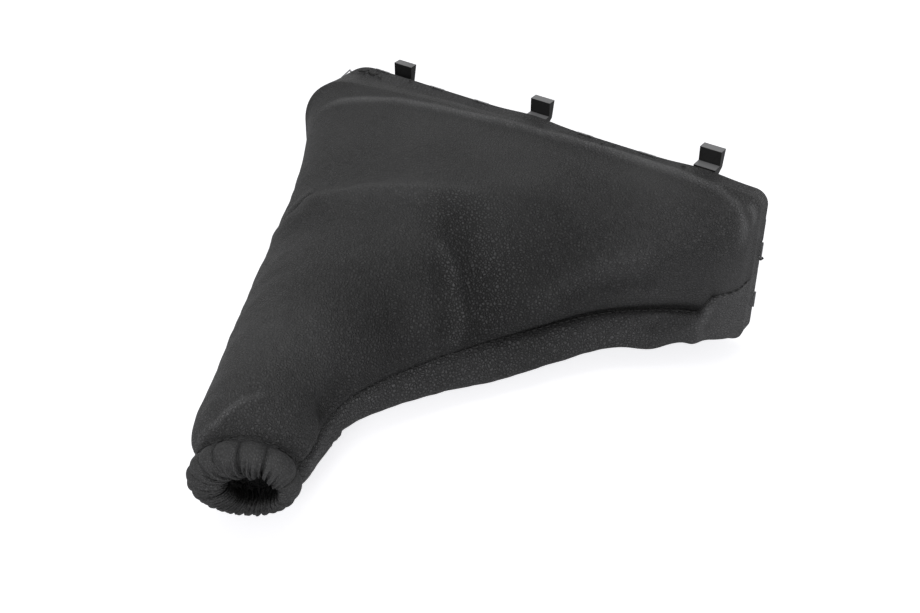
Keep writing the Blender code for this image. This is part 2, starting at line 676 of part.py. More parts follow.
def staple_outline():
    """The bent wire, drawn across and outwards from the wall's outer face."""
    low = WRAP + GAP / 2 + STAPLE_SLACK
    high = low + STAPLE_WIRE
    half = STAPLE_CROWN / 2
    inner = half - STAPLE_WIRE
    tip = high - STAPLE_LEG
    left_leg = [(-half, high), (-half, tip), (-inner, tip), (-inner, low)]
    return left_leg + [(-x, z) for x, z in reversed(left_leg)]


def leg_outlines():
    """Holes for the two legs, drawn the same way."""
    middle = (STAPLE_CROWN - STAPLE_WIRE) / 2
    grow = STAPLE_HOLE / 2
    deep = -0.006
    return [
        [(x - grow, -deep), (x - grow, deep), (x + grow, deep), (x + grow, -deep)]
        for x in (-middle, middle)
    ]


def make_staples(collection, cutters, parent, material, frame, upper_panel, lower_panel):
    for name, x, z, turn in staple_places():
        rotation = (math.radians(90), math.radians(90 - turn), 0.0)
        place = (x, STAPLE_Y, z)
        make_prism(name, [staple_outline()], STAPLE_WIRE, place, rotation, collection, parent, material)
        holes = make_prism(name + "_holes", leg_outlines(), STAPLE_HOLE, place, rotation, cutters, parent)
        make_cutter(holes)
        add_boolean(frame, holes, "DIFFERENCE")
        above_seam = z > FRAME_MIDDLE - SEAM_DROP
        add_boolean(upper_panel if above_seam else lower_panel, holes, "DIFFERENCE")


def set_origin(root, collection):
    """Move the whole part so that the middle of its box's lower face is at the world's origin."""
    bpy.context.view_layer.update()
    graph = bpy.context.evaluated_depsgraph_get()
    low = np.full(3, np.inf)
    high = np.full(3, -np.inf)
    for item in collection.objects:
        if item.type != "MESH":
            continue
        shape = item.evaluated_get(graph)
        data = shape.to_mesh()
        corners = np.empty(len(data.vertices) * 3, dtype=np.float32)
        data.vertices.foreach_get("co", corners)
        matrix = np.array(item.matrix_world)
        world = corners.reshape(-1, 3) @ matrix[:3, :3].T + matrix[:3, 3]
        low = np.minimum(low, world.min(axis=0))
        high = np.maximum(high, world.max(axis=0))
        shape.to_mesh_clear()
    root.location = (-(low[0] + high[0]) / 2, -(low[1] + high[1]) / 2, -low[2])


def main():
    clear_scene()
    collection = make_collection("handbrake_gaiter")
    cutters = make_collection("cutters")
    root = bpy.data.objects.new("gaiter_origin", None)
    collection.objects.link(root)
    plastic = make_material("black_plastic", BLACK_PLASTIC, 0.45)
    leather = make_material("black_leather", BLACK_LEATHER, 0.55)
    hem_leather = make_material("hem_leather", HEM_BLACK, 0.6)
    rubber = make_material("elastic", RUBBER_BLACK, 0.8)
    steel = make_material("steel_wire", STEEL, 0.35, 1.0)
    frame = make_frame(collection, cutters, root, plastic)
    upper_panel = make_panel("upper_panel", True, collection, root, leather)
    lower_panel = make_panel("lower_panel", False, collection, root, leather)
    make_hem(collection, root, hem_leather)
    make_elastic(collection, root, rubber)
    make_staples(collection, cutters, root, steel, frame, upper_panel, lower_panel)
    set_origin(root, collection)


main()
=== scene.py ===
# Handbrake gaiter: the leather, its seams and folds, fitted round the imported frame.
# Metres. x runs along the clip frame, y from the neck to the opening, z up.
import math

import bpy
import numpy as np
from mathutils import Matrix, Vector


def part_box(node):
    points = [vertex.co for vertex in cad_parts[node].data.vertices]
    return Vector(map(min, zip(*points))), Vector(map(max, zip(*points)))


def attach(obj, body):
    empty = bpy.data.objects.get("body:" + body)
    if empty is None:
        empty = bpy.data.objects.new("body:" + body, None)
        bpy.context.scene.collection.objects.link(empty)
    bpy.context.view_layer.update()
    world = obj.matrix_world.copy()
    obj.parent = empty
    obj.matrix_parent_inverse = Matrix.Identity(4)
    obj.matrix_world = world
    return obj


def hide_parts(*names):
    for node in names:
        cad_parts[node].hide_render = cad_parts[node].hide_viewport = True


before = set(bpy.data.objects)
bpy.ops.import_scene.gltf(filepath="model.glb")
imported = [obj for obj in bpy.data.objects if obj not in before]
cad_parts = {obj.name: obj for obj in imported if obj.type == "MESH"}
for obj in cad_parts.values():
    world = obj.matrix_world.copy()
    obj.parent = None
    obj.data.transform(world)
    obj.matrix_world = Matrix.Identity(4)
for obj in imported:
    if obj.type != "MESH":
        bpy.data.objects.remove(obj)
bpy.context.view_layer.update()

# the moulding under the leather; x and y are counted from its own right end and rear face
clip = {
    "right": 0.001,
    "length": 0.217,
    "bottom": 0.0075,
    "height": 0.065,
    "cornerRight": 0.0045,
    "cornerLeft": 0.0225,
    "frontDepth": 0.0052,
    "frontRadius": 0.714,
    "frontX": -0.055,
    "hookEnd": 0.008,
    "hooks": (-0.0265, -0.1075, -0.182),
    "raised": 2,                  # the first two hooks lift the leather's edge
}
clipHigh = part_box("clip_frame")[1]
place = np.array([clipHigh.x - clip["right"], clipHigh.y - clip["hookEnd"], 0.0])

leather = {
    "thick": 0.0012,
    "gap": 0.0003,
    "rawEdge": -0.0008,
    "edgeRise": 0.0013,
    "edgeRiseWidth": 0.013,
    # x and y of the line that the rough strip is folded on
    "foldLine": ((-0.215, -0.0105), (-0.165, -0.0103), (-0.145, -0.0080), (-0.12, -0.0068), (0.0, -0.0066)),
    "ridgeMargin": 0.0013,
    "ridgeRise": 0.0007,
    "ridgeWidth": (0.3, 0.02),    # shares behind the ridge and before it
    # x and y of the band where the moulding's edge lifts the leather from inside; a painted highlight runs
    # along it too
    "bandLine": (
        (-0.205, -0.036), (-0.195, -0.0314), (-0.184, -0.0263), (-0.168, -0.0200), (-0.150, -0.0165),
        (-0.136, -0.0147), (-0.118, -0.0120), (-0.108, -0.0109), (-0.089, -0.0095), (-0.068, -0.0084),
        (-0.052, -0.0081), (-0.034, -0.0082), (-0.016, -0.0098), (-0.004, -0.0150), (0.0, -0.0190),
    ),
    "bandWidth": 0.0017,
    "bandRise": 0.0008,
    "bandHeights": (0.055, 0.066),      # it comes between these heights and these places along x
    "bandStart": (-0.206, -0.190),
    # slackness: rise, wavelength, seeds of the upper and lower half, shares where it comes
    "slack": ((0.00026, 0.024, (3, 4), (0.03, 0.2)), (0.00010, 0.008, (5, 6), (0.15, 0.4))),
    # depth and half width of the seams' grooves, what the fold on the right adds, and where it lies
    "groove": (0.0013, 0.0016),
    "grooveGain": (0.0012, 0.0010),
    "grooveStart": (0.05, 0.12),
    "foldStart": (0.12, 0.17),
    "foldEnd": (0.34, 0.56),
    "curl": 0.0020,               # how far the neck's end turns in
    "curlStart": 0.962,
    "pucker": (0.0005, 21, 1.5, 9),     # depth, half turns, sway, sway's turns
    "puckerStart": (0.975, 0.995),
    "flap": 0.005,                # width of the turned-in seam allowance
    "flapSteps": (0.33, 0.66, 1.0),
    "flapLeast": 0.0002,
    "flapStart": (0.005, 0.03),
    "flapCut": 0.94,              # share of the width that is cut away at the neck
    "flapEnd": (0.96, 0.99),
    "rows": (24, 56, 86, 42),     # over the frame, next to it, along the body, at the neck
    "rowEnds": (0.22, 0.86),
    "columns": 224,
    "columnBias": 0.28,           # how much closer the columns stand at the seams
    "upperCut": (0.225, 0.215),   # flat width and length of each half, and its area
    "upperArea": 0.0358,
    "lowerCut": (0.225, 0.215),
    "lowerArea": 0.0330,
}

# sections of the boot, from the frame (0) to the neck's stitch line (1): each edge is a straight run
# from the frame to the neck, plus its departures
boot = {
    "station": (0.0, 0.08, 0.16, 0.30, 0.45, 0.60, 0.75, 0.88, 0.95, 1.0),
    "seamDrop": 0.002,
    "neckRight": (-0.080, -0.191, 0.027),
    "neckLeft": (-0.115, -0.2105, 0.024),
    "neckCrown": 0.0445,
    "neckBelly": 0.0055,
    "rightBow": (
        (0.0, 0.0, 0.0),
        (0.0046, 0.0044, -0.0013),
        (-0.0023, 0.0070, -0.0052),
        (-0.0188, 0.0125, -0.0079),
        (-0.0284, 0.0108, -0.0088),
        (-0.0330, 0.0071, -0.0074),
        (-0.0326, 0.0045, -0.0072),
        (-0.0209, 0.0061, -0.0048),
        (-0.0081, 0.0019, -0.0020),
        (0.0, 0.0, 0.0),
    ),
    "leftBow": (
        (0.0, 0.0, 0.0),
        (-0.0037, 0.0096, -0.0009),
        (-0.0049, 0.0142, -0.0018),
        (-0.0053, 0.0146, -0.0018),
        (-0.0066, 0.0135, -0.0007),
        (-0.0090, 0.0163, -0.0006),
        (-0.0094, 0.0161, -0.0005),
        (-0.0072, 0.0102, -0.0002),
        (-0.0044, 0.0032, 0.0003),
        (0.0, 0.0, 0.0),
    ),
    "crownBow": (0.0, 0.0009, 0.0007, 0.0004, 0.0008, 0.0017, 0.0036, 0.0050, 0.0035, 0.0),
    "bellyBow": (0.0, 0.0020, 0.0011, -0.0044, -0.0048, -0.0037, -0.0036, -0.0036, -0.0035, 0.0),
    "roundness": (0.0, 0.1, 0.35, 0.8, 1.0, 1.0, 1.0, 1.0, 1.0, 1.0),
    "lean": (0.0, 0.0, 0.0, 0.0, 0.0, 0.0, 2.0, 7.0, 11.0, 13.0),      # degrees
    "upperRoll": (0.0, 0.001, 0.003, 0.0045, 0.0045, 0.003, 0.001, 0.0, 0.0, 0.0),
    "lowerRoll": (0.0, -0.002, 0.001, 0.009, 0.0115, 0.007, 0.0015, 0.0005, 0.0005, 0.0),
    "upperPower": 2.0,
    "lowerPower": 2.6,
    "upperRollReach": 0.22,
    "lowerRollReach": 0.45,
    "ridgeFade": 0.24,
    "seamStep": (0.0053, 0.12, 0.02, 0.04),     # height, start, run and ease of the right seam's step
    "stepReach": (0.55, 1.0),     # from the middle of the section to the right seam
    "seamCalm": 0.05,
    "ridgeCalm": 0.05,
}

# folds: height (a dent is negative), half width, and the places (share, across) they run through
upperFolds = (
    (-0.0017, 0.0045, ((0.46, 0.83), (0.425, 0.782))),
    (0.0020, 0.0080, ((0.50, 0.80), (0.45, 0.74))),
    (0.0025, 0.0090, ((0.435, 0.70), (0.36, 0.545), (0.31, 0.43))),
    (-0.0028, 0.0065, ((0.395, 0.39), (0.445, 0.30), (0.505, 0.135))),
    (-0.0018, 0.0060, ((0.50, 0.302), (0.575, 0.125))),
    (-0.0022, 0.0070, ((0.65, 0.22), (0.665, 0.13))),
    (-0.0025, 0.0090, ((0.80, 0.09), (0.87, 0.07))),
    (0.0015, 0.0100, ((0.115, 0.113), (0.13, 0.09))),
    (0.0020, 0.0075, ((0.235, 0.14), (0.30, 0.145), (0.405, 0.122))),
    (-0.0022, 0.0045, ((0.235, 0.077), (0.30, 0.095), (0.37, 0.10))),
)
lowerFolds = (
    (0.0020, 0.0060, ((0.255, 0.02), (0.19, 0.158))),
    (-0.0030, 0.0050, ((0.20, 0.035), (0.225, 0.055))),
    (0.0018, 0.0035, ((0.125, 0.02), (0.135, 0.05), (0.12, 0.135))),
    (0.0012, 0.0025, ((0.50, 0.03), (0.515, 0.12))),
    (-0.0020, 0.0045, ((0.08, 0.045), (0.11, 0.09))),
)

# finer relief on top: how sharp (1 is a soft swell, 0 a sharp crease), height, half width, places
upperCreases = (
    (0, -0.0013, 0.0017, ((0.475, 0.84), (0.46, 0.83), (0.44, 0.81), (0.425, 0.782), (0.400, 0.770))),
    (1, 0.0009, 0.0035, ((0.485, 0.875), (0.455, 0.855), (0.42, 0.822), (0.385, 0.792))),
    (1, 0.0010, 0.0040, ((0.435, 0.70), (0.405, 0.635), (0.36, 0.545), (0.31, 0.43))),
    (1, 0.0011, 0.0032, ((0.465, 0.315), (0.535, 0.205), (0.57, 0.08))),
    (1, -0.0011, 0.0028, ((0.42, 0.355), (0.455, 0.285), (0.515, 0.15))),
    (1, -0.0010, 0.0030, ((0.49, 0.325), (0.54, 0.212), (0.58, 0.12))),
    (1, -0.0008, 0.0040, ((0.655, 0.215), (0.67, 0.13))),
    (1, 0.0006, 0.0045, ((0.60, 0.24), (0.62, 0.13))),
    (1, -0.0009, 0.0045, ((0.82, 0.095), (0.885, 0.068))),
    (0, 0.0008, 0.0009, ((0.99, 0.845), (0.985, 0.745), (0.98, 0.647), (0.955, 0.525), (0.94, 0.415))),
    (1, -0.0006, 0.0028, ((1.0, 0.80), (0.995, 0.66), (0.975, 0.53), (0.96, 0.42))),
    (1, -0.0009, 0.0035, ((0.235, 0.06), (0.165, 0.035), (0.10, 0.05))),
    (1, 0.0007, 0.0030, ((0.475, 0.818), (0.49, 0.735))),
    (1, 0.0007, 0.0035, ((0.20, 0.10), (0.26, 0.125), (0.33, 0.135))),
    (1, -0.0006, 0.0040, ((0.24, 0.33), (0.28, 0.22), (0.35, 0.17))),
    (1, 0.0005, 0.0050, ((0.70, 0.60), (0.80, 0.50), (0.88, 0.40))),
)
lowerCreases = (
    (1, 0.0008, 0.0020, ((0.125, 0.01), (0.135, 0.04), (0.128, 0.09))),
    (1, -0.0009, 0.0022, ((0.150, 0.02), (0.158, 0.05), (0.155, 0.08))),
    (1, -0.0012, 0.0030, ((0.505, 0.03), (0.50, 0.10))),
    (1, -0.0012, 0.0035, ((0.39, 0.02), (0.395, 0.08))),
    (1, 0.0008, 0.0035, ((0.44, 0.03), (0.45, 0.12))),
    (0, 0.0007, 0.0014, ((0.80, 0.03), (0.84, 0.10), (0.85, 0.18))),
    (0, 0.0006, 0.0014, ((0.85, 0.03), (0.875, 0.09), (0.88, 0.16))),
)


# eases from 0 to 1 between two values
def ease(values, low, high):
    t = np.clip((values - low) / (high - low), 0.0, 1.0)
    return t * t * (3 - 2 * t)


# smooth curve through one value a station, with slopes from the neighbours
def smoothRun(values, share):
    table = np.asarray(values, float)
    stations = np.asarray(boot["station"], float)
    single = table.ndim == 1
    if single:
        table = table[:, None]
    steps = (table[1:] - table[:-1]) / (stations[1:] - stations[:-1])[:, None]
    slopes = np.vstack([steps[:1], 0.5 * (steps[1:] + steps[:-1]), steps[-1:]])
    cell = np.clip(np.searchsorted(stations, share) - 1, 0, len(stations) - 2)
    span = (stations[cell + 1] - stations[cell])[..., None]
    t = (share - stations[cell])[..., None] / span
    run = (
        (2 * t**3 - 3 * t**2 + 1) * table[cell]
        + (t**3 - 2 * t**2 + t) * span * slopes[cell]
        + (3 * t**2 - 2 * t**3) * table[cell + 1]
        + (t**3 - t**2) * span * slopes[cell + 1]
    )
    return run[..., 0] if single else run


# depth of the moulding's wall: the front edge is a circle seen from above
def frontDepth(x):
    radius = clip["frontRadius"]
    return clip["frontDepth"] + radius - np.sqrt(radius**2 - (x - clip["frontX"]) ** 2)


# unit outline of one half on the moulding: straights joined by two quarter circles
def halfOutline(share, halfLength, height):
    wrap = leather["thick"] + leather["gap"]
    right = clip["cornerRight"] + wrap
    left = clip["cornerLeft"] + wrap
    flat = 2 * halfLength - right - left
    runs = (height - right, right * math.pi / 2, flat, left * math.pi / 2, height - left)
    ends = np.concatenate([[0.0], np.cumsum(runs)])
    run = share * ends[-1]
    turnRight = np.clip((run - ends[1]) / right, 0.0, math.pi / 2)
    turnLeft = np.clip((run - ends[3]) / left, 0.0, math.pi / 2)
    rise = np.clip(run, 0.0, ends[1])
    along = np.clip(run - ends[2], 0.0, flat)
    fall = np.clip(run - ends[4], 0.0, runs[4])
    x = halfLength - right * (1 - np.cos(turnRight)) - along - left * np.sin(turnLeft)
    z = rise + right * np.sin(turnRight) - left * (1 - np.cos(turnLeft)) - fall
    return x / halfLength, z / height


# where a seam starts at the ridge, on the short side at x
def frameCorner(x):
    middle = clip["bottom"] + clip["height"] / 2 - boot["seamDrop"]
    return np.array([x, -(float(frontDepth(x)) + leather["ridgeMargin"]), middle])


# the two ends of the ridge
def frameEnds():
    wrap = leather["thick"] + leather["gap"]
    return frameCorner(clip["right"] + wrap), frameCorner(clip["right"] - clip["length"] - wrap)


# straight run from the frame to the neck, plus its departures
def bowed(start, end, bow, share):
    return np.multiply.outer(1 - share, start) + np.multiply.outer(share, end) + smoothRun(bow, share)


# the two seam points of a section, half its chord, and its forward and upward directions
def sectionFrame(share):
    rightEnd, leftEnd = frameEnds()
    right = bowed(rightEnd, boot["neckRight"], boot["rightBow"], share)
    left = bowed(leftEnd, boot["neckLeft"], boot["leftBow"], share)
    lean = np.radians(smoothRun(boot["lean"], share))
    half = (right - left) / 2
    level = np.linalg.norm(half[..., :2], axis=-1)
    ahead = np.stack([half[..., 1], -half[..., 0], 0 * level], axis=-1) / level[..., None]
    up = ahead * np.sin(lean)[..., None]
    up[..., 2] = np.cos(lean)
    return right, left, half, ahead, up


# shortest distance from each point to a broken line
def distanceToRun(points, run):
    best = np.full(points.shape[:-1], np.inf)
    for start, end in zip(run[:-1], run[1:]):
        start = np.array(start)
        span = np.array(end) - start
        t = np.clip(((points - start) @ span) / (span @ span), 0.0, 1.0)
        best = np.minimum(best, np.linalg.norm(points - start - t[..., None] * span, axis=-1))
    return best


# soft unevenness: a few dozen plane waves of about one wavelength, in seeded directions
def softWaves(points, wavelength, seed, count=24):
    dice = np.random.RandomState(seed)
    directions = dice.normal(size=(count, 3))
    directions /= np.linalg.norm(directions, axis=1)[:, None]
    pitch = 2 * math.pi / (wavelength * dice.uniform(0.7, 1.5, count))
    phase = dice.uniform(0, 2 * math.pi, count)
    total = np.zeros(points.shape[:-1])
    for i in range(count):
        total += np.sin(points @ directions[i] * pitch[i] + phase[i])
    return total / math.sqrt(count / 2)


# outer face of one half before its folds: each section blends from the moulding's outline to an
# ellipse between the two seams. share is -1 at the raw edge, 0 over the moulding's front edge and 1 at
# the neck; across is 0 at the right seam and 1 at the left one
def calmSurface(share, across, upper):
    inside = np.clip(share, 0.0, 1.0)
    right, left, half, ahead, up = sectionFrame(inside)
    middle = (right + left) / 2
    wrap = leather["thick"] + leather["gap"]
    face = clip["bottom"] + (clip["height"] + wrap if upper else -wrap)
    edge = bowed(
        face, boot["neckCrown" if upper else "neckBelly"], boot["crownBow" if upper else "bellyBow"], inside
    )
    rightEnd, leftEnd = frameEnds()
    frameX, frameZ = halfOutline(across, clip["length"] / 2 + wrap, abs(face - rightEnd[2]))
    roundness = np.clip(smoothRun(boot["roundness"], inside), 0.0, 1.0)
    power = boot["upperPower" if upper else "lowerPower"]
    cosine = np.cos(math.pi * across)
    sine = np.sin(math.pi * across)
    x = (1 - roundness) * frameX + roundness * np.sign(cosine) * np.abs(cosine) ** (2 / power)
    z = (1 - roundness) * frameZ + roundness * np.abs(sine) ** (2 / power)
    height = edge - middle[..., 2]
    points = middle + half * x[..., None] + up * (height * z)[..., None]
    # a fold hides a step of the right seam
    drop, start, run, fade = boot["seamStep"]
    step = ease(inside, start, start + run) * np.exp(-np.clip(inside - start - run, 0.0, 1.0) / fade)
    points[..., 2] -= drop * step * ease((1 + x - z) / 2, *boot["stepReach"])
    wide = np.linalg.norm(half, axis=-1)
    side = half / wide[..., None]
    roll = smoothRun(boot["upperRoll" if upper else "lowerRoll"], inside)
    reach = boot["upperRollReach" if upper else "lowerRollReach"]
    roll = roll * np.sin(math.pi * np.clip(across / reach, 0.0, 1.0))
    points = points + side * roll[..., None]
    # the leather turns over the curved front edge and runs back to its raw edge
    chordY = rightEnd[1] + (leftEnd[1] - rightEnd[1]) * (1 - x) / 2
    ridgeY = -(frontDepth(points[..., 0]) + leather["ridgeMargin"])
    fade = np.clip(1 - inside / boot["ridgeFade"], 0.0, 1.0) ** 2
    points[..., 1] += (ridgeY - chordY) * fade
    back = np.clip(-share, 0.0, 1.0)
    points[..., 1] = points[..., 1] * (1 - back) + leather["rawEdge"] * back
    outward = side * (x / wide)[..., None] + up * (z / np.abs(height) * np.sign(height))[..., None]
    outward /= np.linalg.norm(outward, axis=-1)[..., None]
    return points, outward


# points of a run of places (share, across) on the surface, with more between them where it is fine
def runOnSurface(places, upper, between=1):
    places = np.array(places)
    steps = np.linspace(0, len(places) - 1, (len(places) - 1) * between + 1)
    share = np.interp(steps, np.arange(len(places)), places[:, 0])
    across = np.interp(steps, np.arange(len(places)), places[:, 1])
    return calmSurface(share, across, upper)[0]


# 1 along the line where the moulding's edge presses the upper half from inside, 0 away from it; it shapes the
# lift there and the painted highlight
def pressedBandAndHighlight(points):
    lineX, lineY = np.array(leather["bandLine"]).T
    away = points[..., 1] - np.interp(points[..., 0], lineX, lineY)
    near = np.exp(-((away / leather["bandWidth"]) ** 2))
    return near * ease(points[..., 2], *leather["bandHeights"]) * ease(points[..., 0], *leather["bandStart"])


# the same face with its folds, creases and slackness, each a bell or a sharp peak across its run
def bootSurface(share, across, upper):
    points, outward = calmSurface(share, across, upper)
    lift = np.zeros(points.shape[:-1])
    for rise, width, places in upperFolds if upper else lowerFolds:
        lift += rise * np.exp(-((distanceToRun(points, runOnSurface(places, upper)) / width) ** 2))
    for soft, rise, width, places in upperCreases if upper else lowerCreases:
        away = distanceToRun(points, runOnSurface(places, upper, 4)) / width
        lift += rise * np.exp(-(away ** (2 if soft else 1)))
    # slack leather is never quite even
    for rise, wavelength, seeds, start in leather["slack"]:
        lift += rise * softWaves(points, wavelength, seeds[0 if upper else 1]) * ease(share, *start)
    calm = np.clip(across / boot["seamCalm"], 0.0, 1.0) * np.clip((1 - across) / boot["seamCalm"], 0.0, 1.0)
    lift *= calm * np.clip(share / boot["ridgeCalm"], 0.0, 1.0)
    behind, before = leather["ridgeWidth"]
    lift += leather["ridgeRise"] * np.exp(-((share / np.where(share < 0, behind, before)) ** 2))
    if upper:
        lift += leather["bandRise"] * pressedBandAndHighlight(points)
    points += outward * lift[..., None]
    if upper:
        back = np.clip(-share, 0.0, 1.0)
        for x in clip["hooks"][: clip["raised"]]:
            away = (points[..., 0] - x) / leather["edgeRiseWidth"]
            points[..., 2] += leather["edgeRise"] * back * np.exp(-(away**2))
    points[..., 2] += (leather["gap"] / 2) * (1 if upper else -1)
    points[..., 2] = np.maximum(points[..., 2], 0.0)
    return points, outward


# rows of the fine grid: over the moulding, next to it, along the body, at the neck
def panelRows():
    band, near, body, neck = leather["rows"]
    nearEnd, bodyEnd = leather["rowEnds"]
    return np.concatenate([
        np.linspace(-1.0, 0.0, band, endpoint=False),
        np.linspace(0.0, nearEnd, near, endpoint=False),
        np.linspace(nearEnd, bodyEnd, body, endpoint=False),
        np.linspace(bodyEnd, 1.0, neck),
    ])


# quads of a grid, with each row closed to a ring where asked
def gridQuads(rows, columns, closed=False):
    row = np.arange(rows - 1)[:, None] * columns
    column = np.arange(columns if closed else columns - 1)[None, :]
    after = row + columns
    beside = (column + 1) % columns
    corners = [row + column, row + beside, after + beside, after + column]
    return np.stack(np.broadcast_arrays(*corners), axis=-1).reshape(-1, 4)


# mesh object from points and faces, with one attribute a name
def makePiece(name, points, faces, material, attributes=None, smooth=True):
    mesh = bpy.data.meshes.new(name)
    mesh.from_pydata((points.reshape(-1, 3) + place).tolist(), [], faces)
    for key, values in (attributes or {}).items():
        layer = mesh.attributes.new(key, "FLOAT", "POINT")
        layer.data.foreach_set("value", np.ascontiguousarray(values, np.float32).ravel())
    if smooth:
        mesh.shade_smooth()
    mesh.materials.append(material)
    piece = bpy.data.objects.new(name, mesh)
    bpy.context.scene.collection.objects.link(piece)
    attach(piece, "root")
    return piece


# many rods in one mesh: each is a row of round sections with closed ends. first and second are the two
# directions that a section lies in
def makeRods(name, centre, radius, first, second, sides, smooth=True):
    around = np.linspace(0.0, 2 * math.pi, sides, endpoint=False)
    points = (
        centre[:, :, None]
        + (radius[..., None] * np.cos(around))[..., None] * first[:, :, None]
        + (radius[..., None] * np.sin(around))[..., None] * second[:, :, None]
    )
    count, rings = points.shape[:2]
    blocks = np.arange(count)[:, None, None] * rings * sides
    faces = (gridQuads(rings, sides, closed=True)[None] + blocks).reshape(-1, 4).tolist()
    caps = np.stack([np.arange(sides)[::-1], np.arange(sides) + (rings - 1) * sides])
    faces += (caps[None] + blocks).reshape(-1, sides).tolist()
    makePiece(name, points, faces, paints["thread"], smooth=smooth)


# one sheet given its thickness inwards from its outer face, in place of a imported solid
def thickenSheet(piece, thick, node):
    shell = piece.modifiers.new("thickness", "SOLIDIFY")
    shell.thickness = thick
    shell.offset = -1.0
    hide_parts(node)


# a socket that takes part in plain sums
class Signal:
    def __init__(self, paint, socket):
        self.paint = paint
        self.socket = socket

    def join(self, how, first, second):
        return self.paint.node("ShaderNodeMath", {"operation": how}, {0: first, 1: second})

    def __add__(self, other):
        return self.join("ADD", self, other)

    def __radd__(self, other):
        return self.join("ADD", other, self)

    def __sub__(self, other):
        return self.join("SUBTRACT", self, other)

    def __rsub__(self, other):
        return self.join("SUBTRACT", other, self)

    def __mul__(self, other):
        return self.join("MULTIPLY", self, other)

    def __rmul__(self, other):
        return self.join("MULTIPLY", other, self)


# one material's node tree
class Paint:
    def __init__(self, name):
        self.material = bpy.data.materials.new(name)
        self.material.use_nodes = True
        self.tree = self.material.node_tree
        self.shader = self.tree.nodes["Principled BSDF"]
        self.output = self.tree.nodes["Material Output"]

    def feed(self, socket, value):
        if isinstance(value, Signal):
            self.tree.links.new(value.socket, socket)
        else:
            socket.default_value = value[:3] if socket.type == "VECTOR" else value

    def node(self, kind, settings=None, inputs=None, output=0):
        made = self.tree.nodes.new(kind)
        for key, value in (settings or {}).items():
            setattr(made, key, value)
        for key, value in (inputs or {}).items():
            self.feed(made.inputs[key], value)
        return Signal(self, made.outputs[output])

    def set(self, **values):
        for key, value in values.items():
            self.feed(self.shader.inputs[key.replace("_", " ")], value)

    # 0 to 1 as the signal goes from low to high
    def between(self, signal, low, high):
        smooth = {"interpolation_type": "SMOOTHSTEP"}
        return self.node("ShaderNodeMapRange", smooth, {0: signal, 1: low, 2: high})

    def noise(self, where, scale, detail=2.0):
        return self.node("ShaderNodeTexNoise", {}, {"Vector": where, "Scale": scale, "Detail": detail})

    def attribute(self, name):
        return self.node("ShaderNodeAttribute", {"attribute_name": name}, output="Fac")

    def blend(self, factor, first, second):
        return self.node("ShaderNodeMix", {"data_type": "RGBA"}, {0: factor, 6: first, 7: second}, output=2)

    def scaled(self, vector, scale):
        return self.node("ShaderNodeVectorMath", {"operation": "SCALE"}, {0: vector, "Scale": scale})

    def edges(self, where, scale):
        return self.node(
            "ShaderNodeTexVoronoi", {"feature": "DISTANCE_TO_EDGE"}, {"Vector": where, "Scale": scale}
        )

    # distance is in metres for a height of 1
    def bump(self, height, distance):
        return self.node("ShaderNodeBump", {}, {"Strength": 1.0, "Distance": distance, "Height": height})

    def place(self):
        return self.node("ShaderNodeTexCoord", output="Object")


def grey(value):
    return (value, value, value * 1.02, 1.0)


# pebbled leatherette: cells about a millimetre wide, waved by noise, flatter where it is stretched; the
# strip behind the fold line is rough backing with ribs along it. Heights are in millimetres
def leatherPaint(name, base, cell, depth):
    paint = Paint(name)
    where = paint.place()
    waver = {"Vector": where, "Scale": 260.0, "Detail": 1.0}
    drift = paint.node("ShaderNodeTexNoise", {}, waver, output="Color")
    shift = paint.scaled(drift, 0.0014)
    waved = paint.node("ShaderNodeVectorMath", {"operation": "ADD"}, {0: where, 1: shift})
    cells = paint.between(paint.edges(waved, 1 / cell), 0.0, 0.30)
    finer = paint.between(paint.edges(waved, 2.3 / cell), 0.0, 0.25)
    pebble = cells * 0.8 + finer * 0.2
    wave = paint.noise(where, 0.42 / cell, 2.0)
    grain = paint.attribute("grain")
    shade = paint.attribute("shade")
    worn = paint.attribute("worn")
    behind = paint.attribute("behind")
    strip = paint.between(behind, -0.15, 0.15) * (1 - paint.attribute("bare"))
    rough = paint.noise(where, 1500.0, 4.0)
    uneven = paint.noise(where, 240.0, 2.0)
    ribs = paint.node("ShaderNodeMath", {"operation": "SINE"}, {0: behind * 6.3 + uneven * 3.0})
    skin = (pebble * depth + wave * depth * 1.3) * grain
    height = skin * (1 - strip) + strip * (rough * 0.7 + ribs * 0.13 - 0.35)
    patch = paint.between(paint.noise(where, 28.0, 3.0), 0.3, 0.7)
    # the shade attribute brings painted light and shade into the colour
    tone = (0.90 + patch * 0.24) * (1 + grain * (pebble - 0.5) * 0.9) * shade
    dots = paint.node("ShaderNodeTexVoronoi", {}, {"Vector": where, "Scale": 75.0})
    speck = (1 - paint.between(dots, 0.012, 0.028)) * paint.between(paint.noise(where, 31.0), 0.56, 0.6)
    fibre = paint.blend(paint.between(ribs + rough * 1.4, -0.6, 1.2), grey(base * 0.2), grey(base * 3.2))
    dark = paint.blend(strip, grey(base), fibre)
    rubbed = paint.blend(worn, paint.scaled(dark, tone), grey(0.085))
    colour = paint.blend(speck * 0.5, rubbed, grey(0.16))
    paint.set(
        Base_Color=colour,
        Roughness=0.50 + patch * 0.06 + strip * 0.35 - pebble * grain * 0.08,
        Specular_IOR_Level=0.24,
        Normal=paint.bump(height, 0.001),
    )
    return paint.material


# moulded black plastic with a fine matt grain, with dust and painted light making the faces that look up
# paler
def plasticPaint():
    paint = Paint("mouldedPlastic")
    where = paint.place()
    grain = paint.noise(where, 2600.0, 3.0)
    patch = paint.noise(where, 60.0, 3.0)
    outward = paint.node("ShaderNodeTexCoord", output="Normal")
    facing = paint.node("ShaderNodeSeparateXYZ", {}, {0: outward}, "Z")
    # dust and painted light on the faces that look up
    dustAndLight = paint.blend(paint.between(facing, 0.3, 0.95) * (0.4 + patch), grey(0.006), grey(0.19))
    paint.set(
        Base_Color=paint.scaled(dustAndLight, 0.8 + patch * 0.4),
        Roughness=0.38 + patch * 0.12,
        Specular_IOR_Level=0.3,
        Normal=paint.bump(grain, 0.00004),
    )
    return paint.material


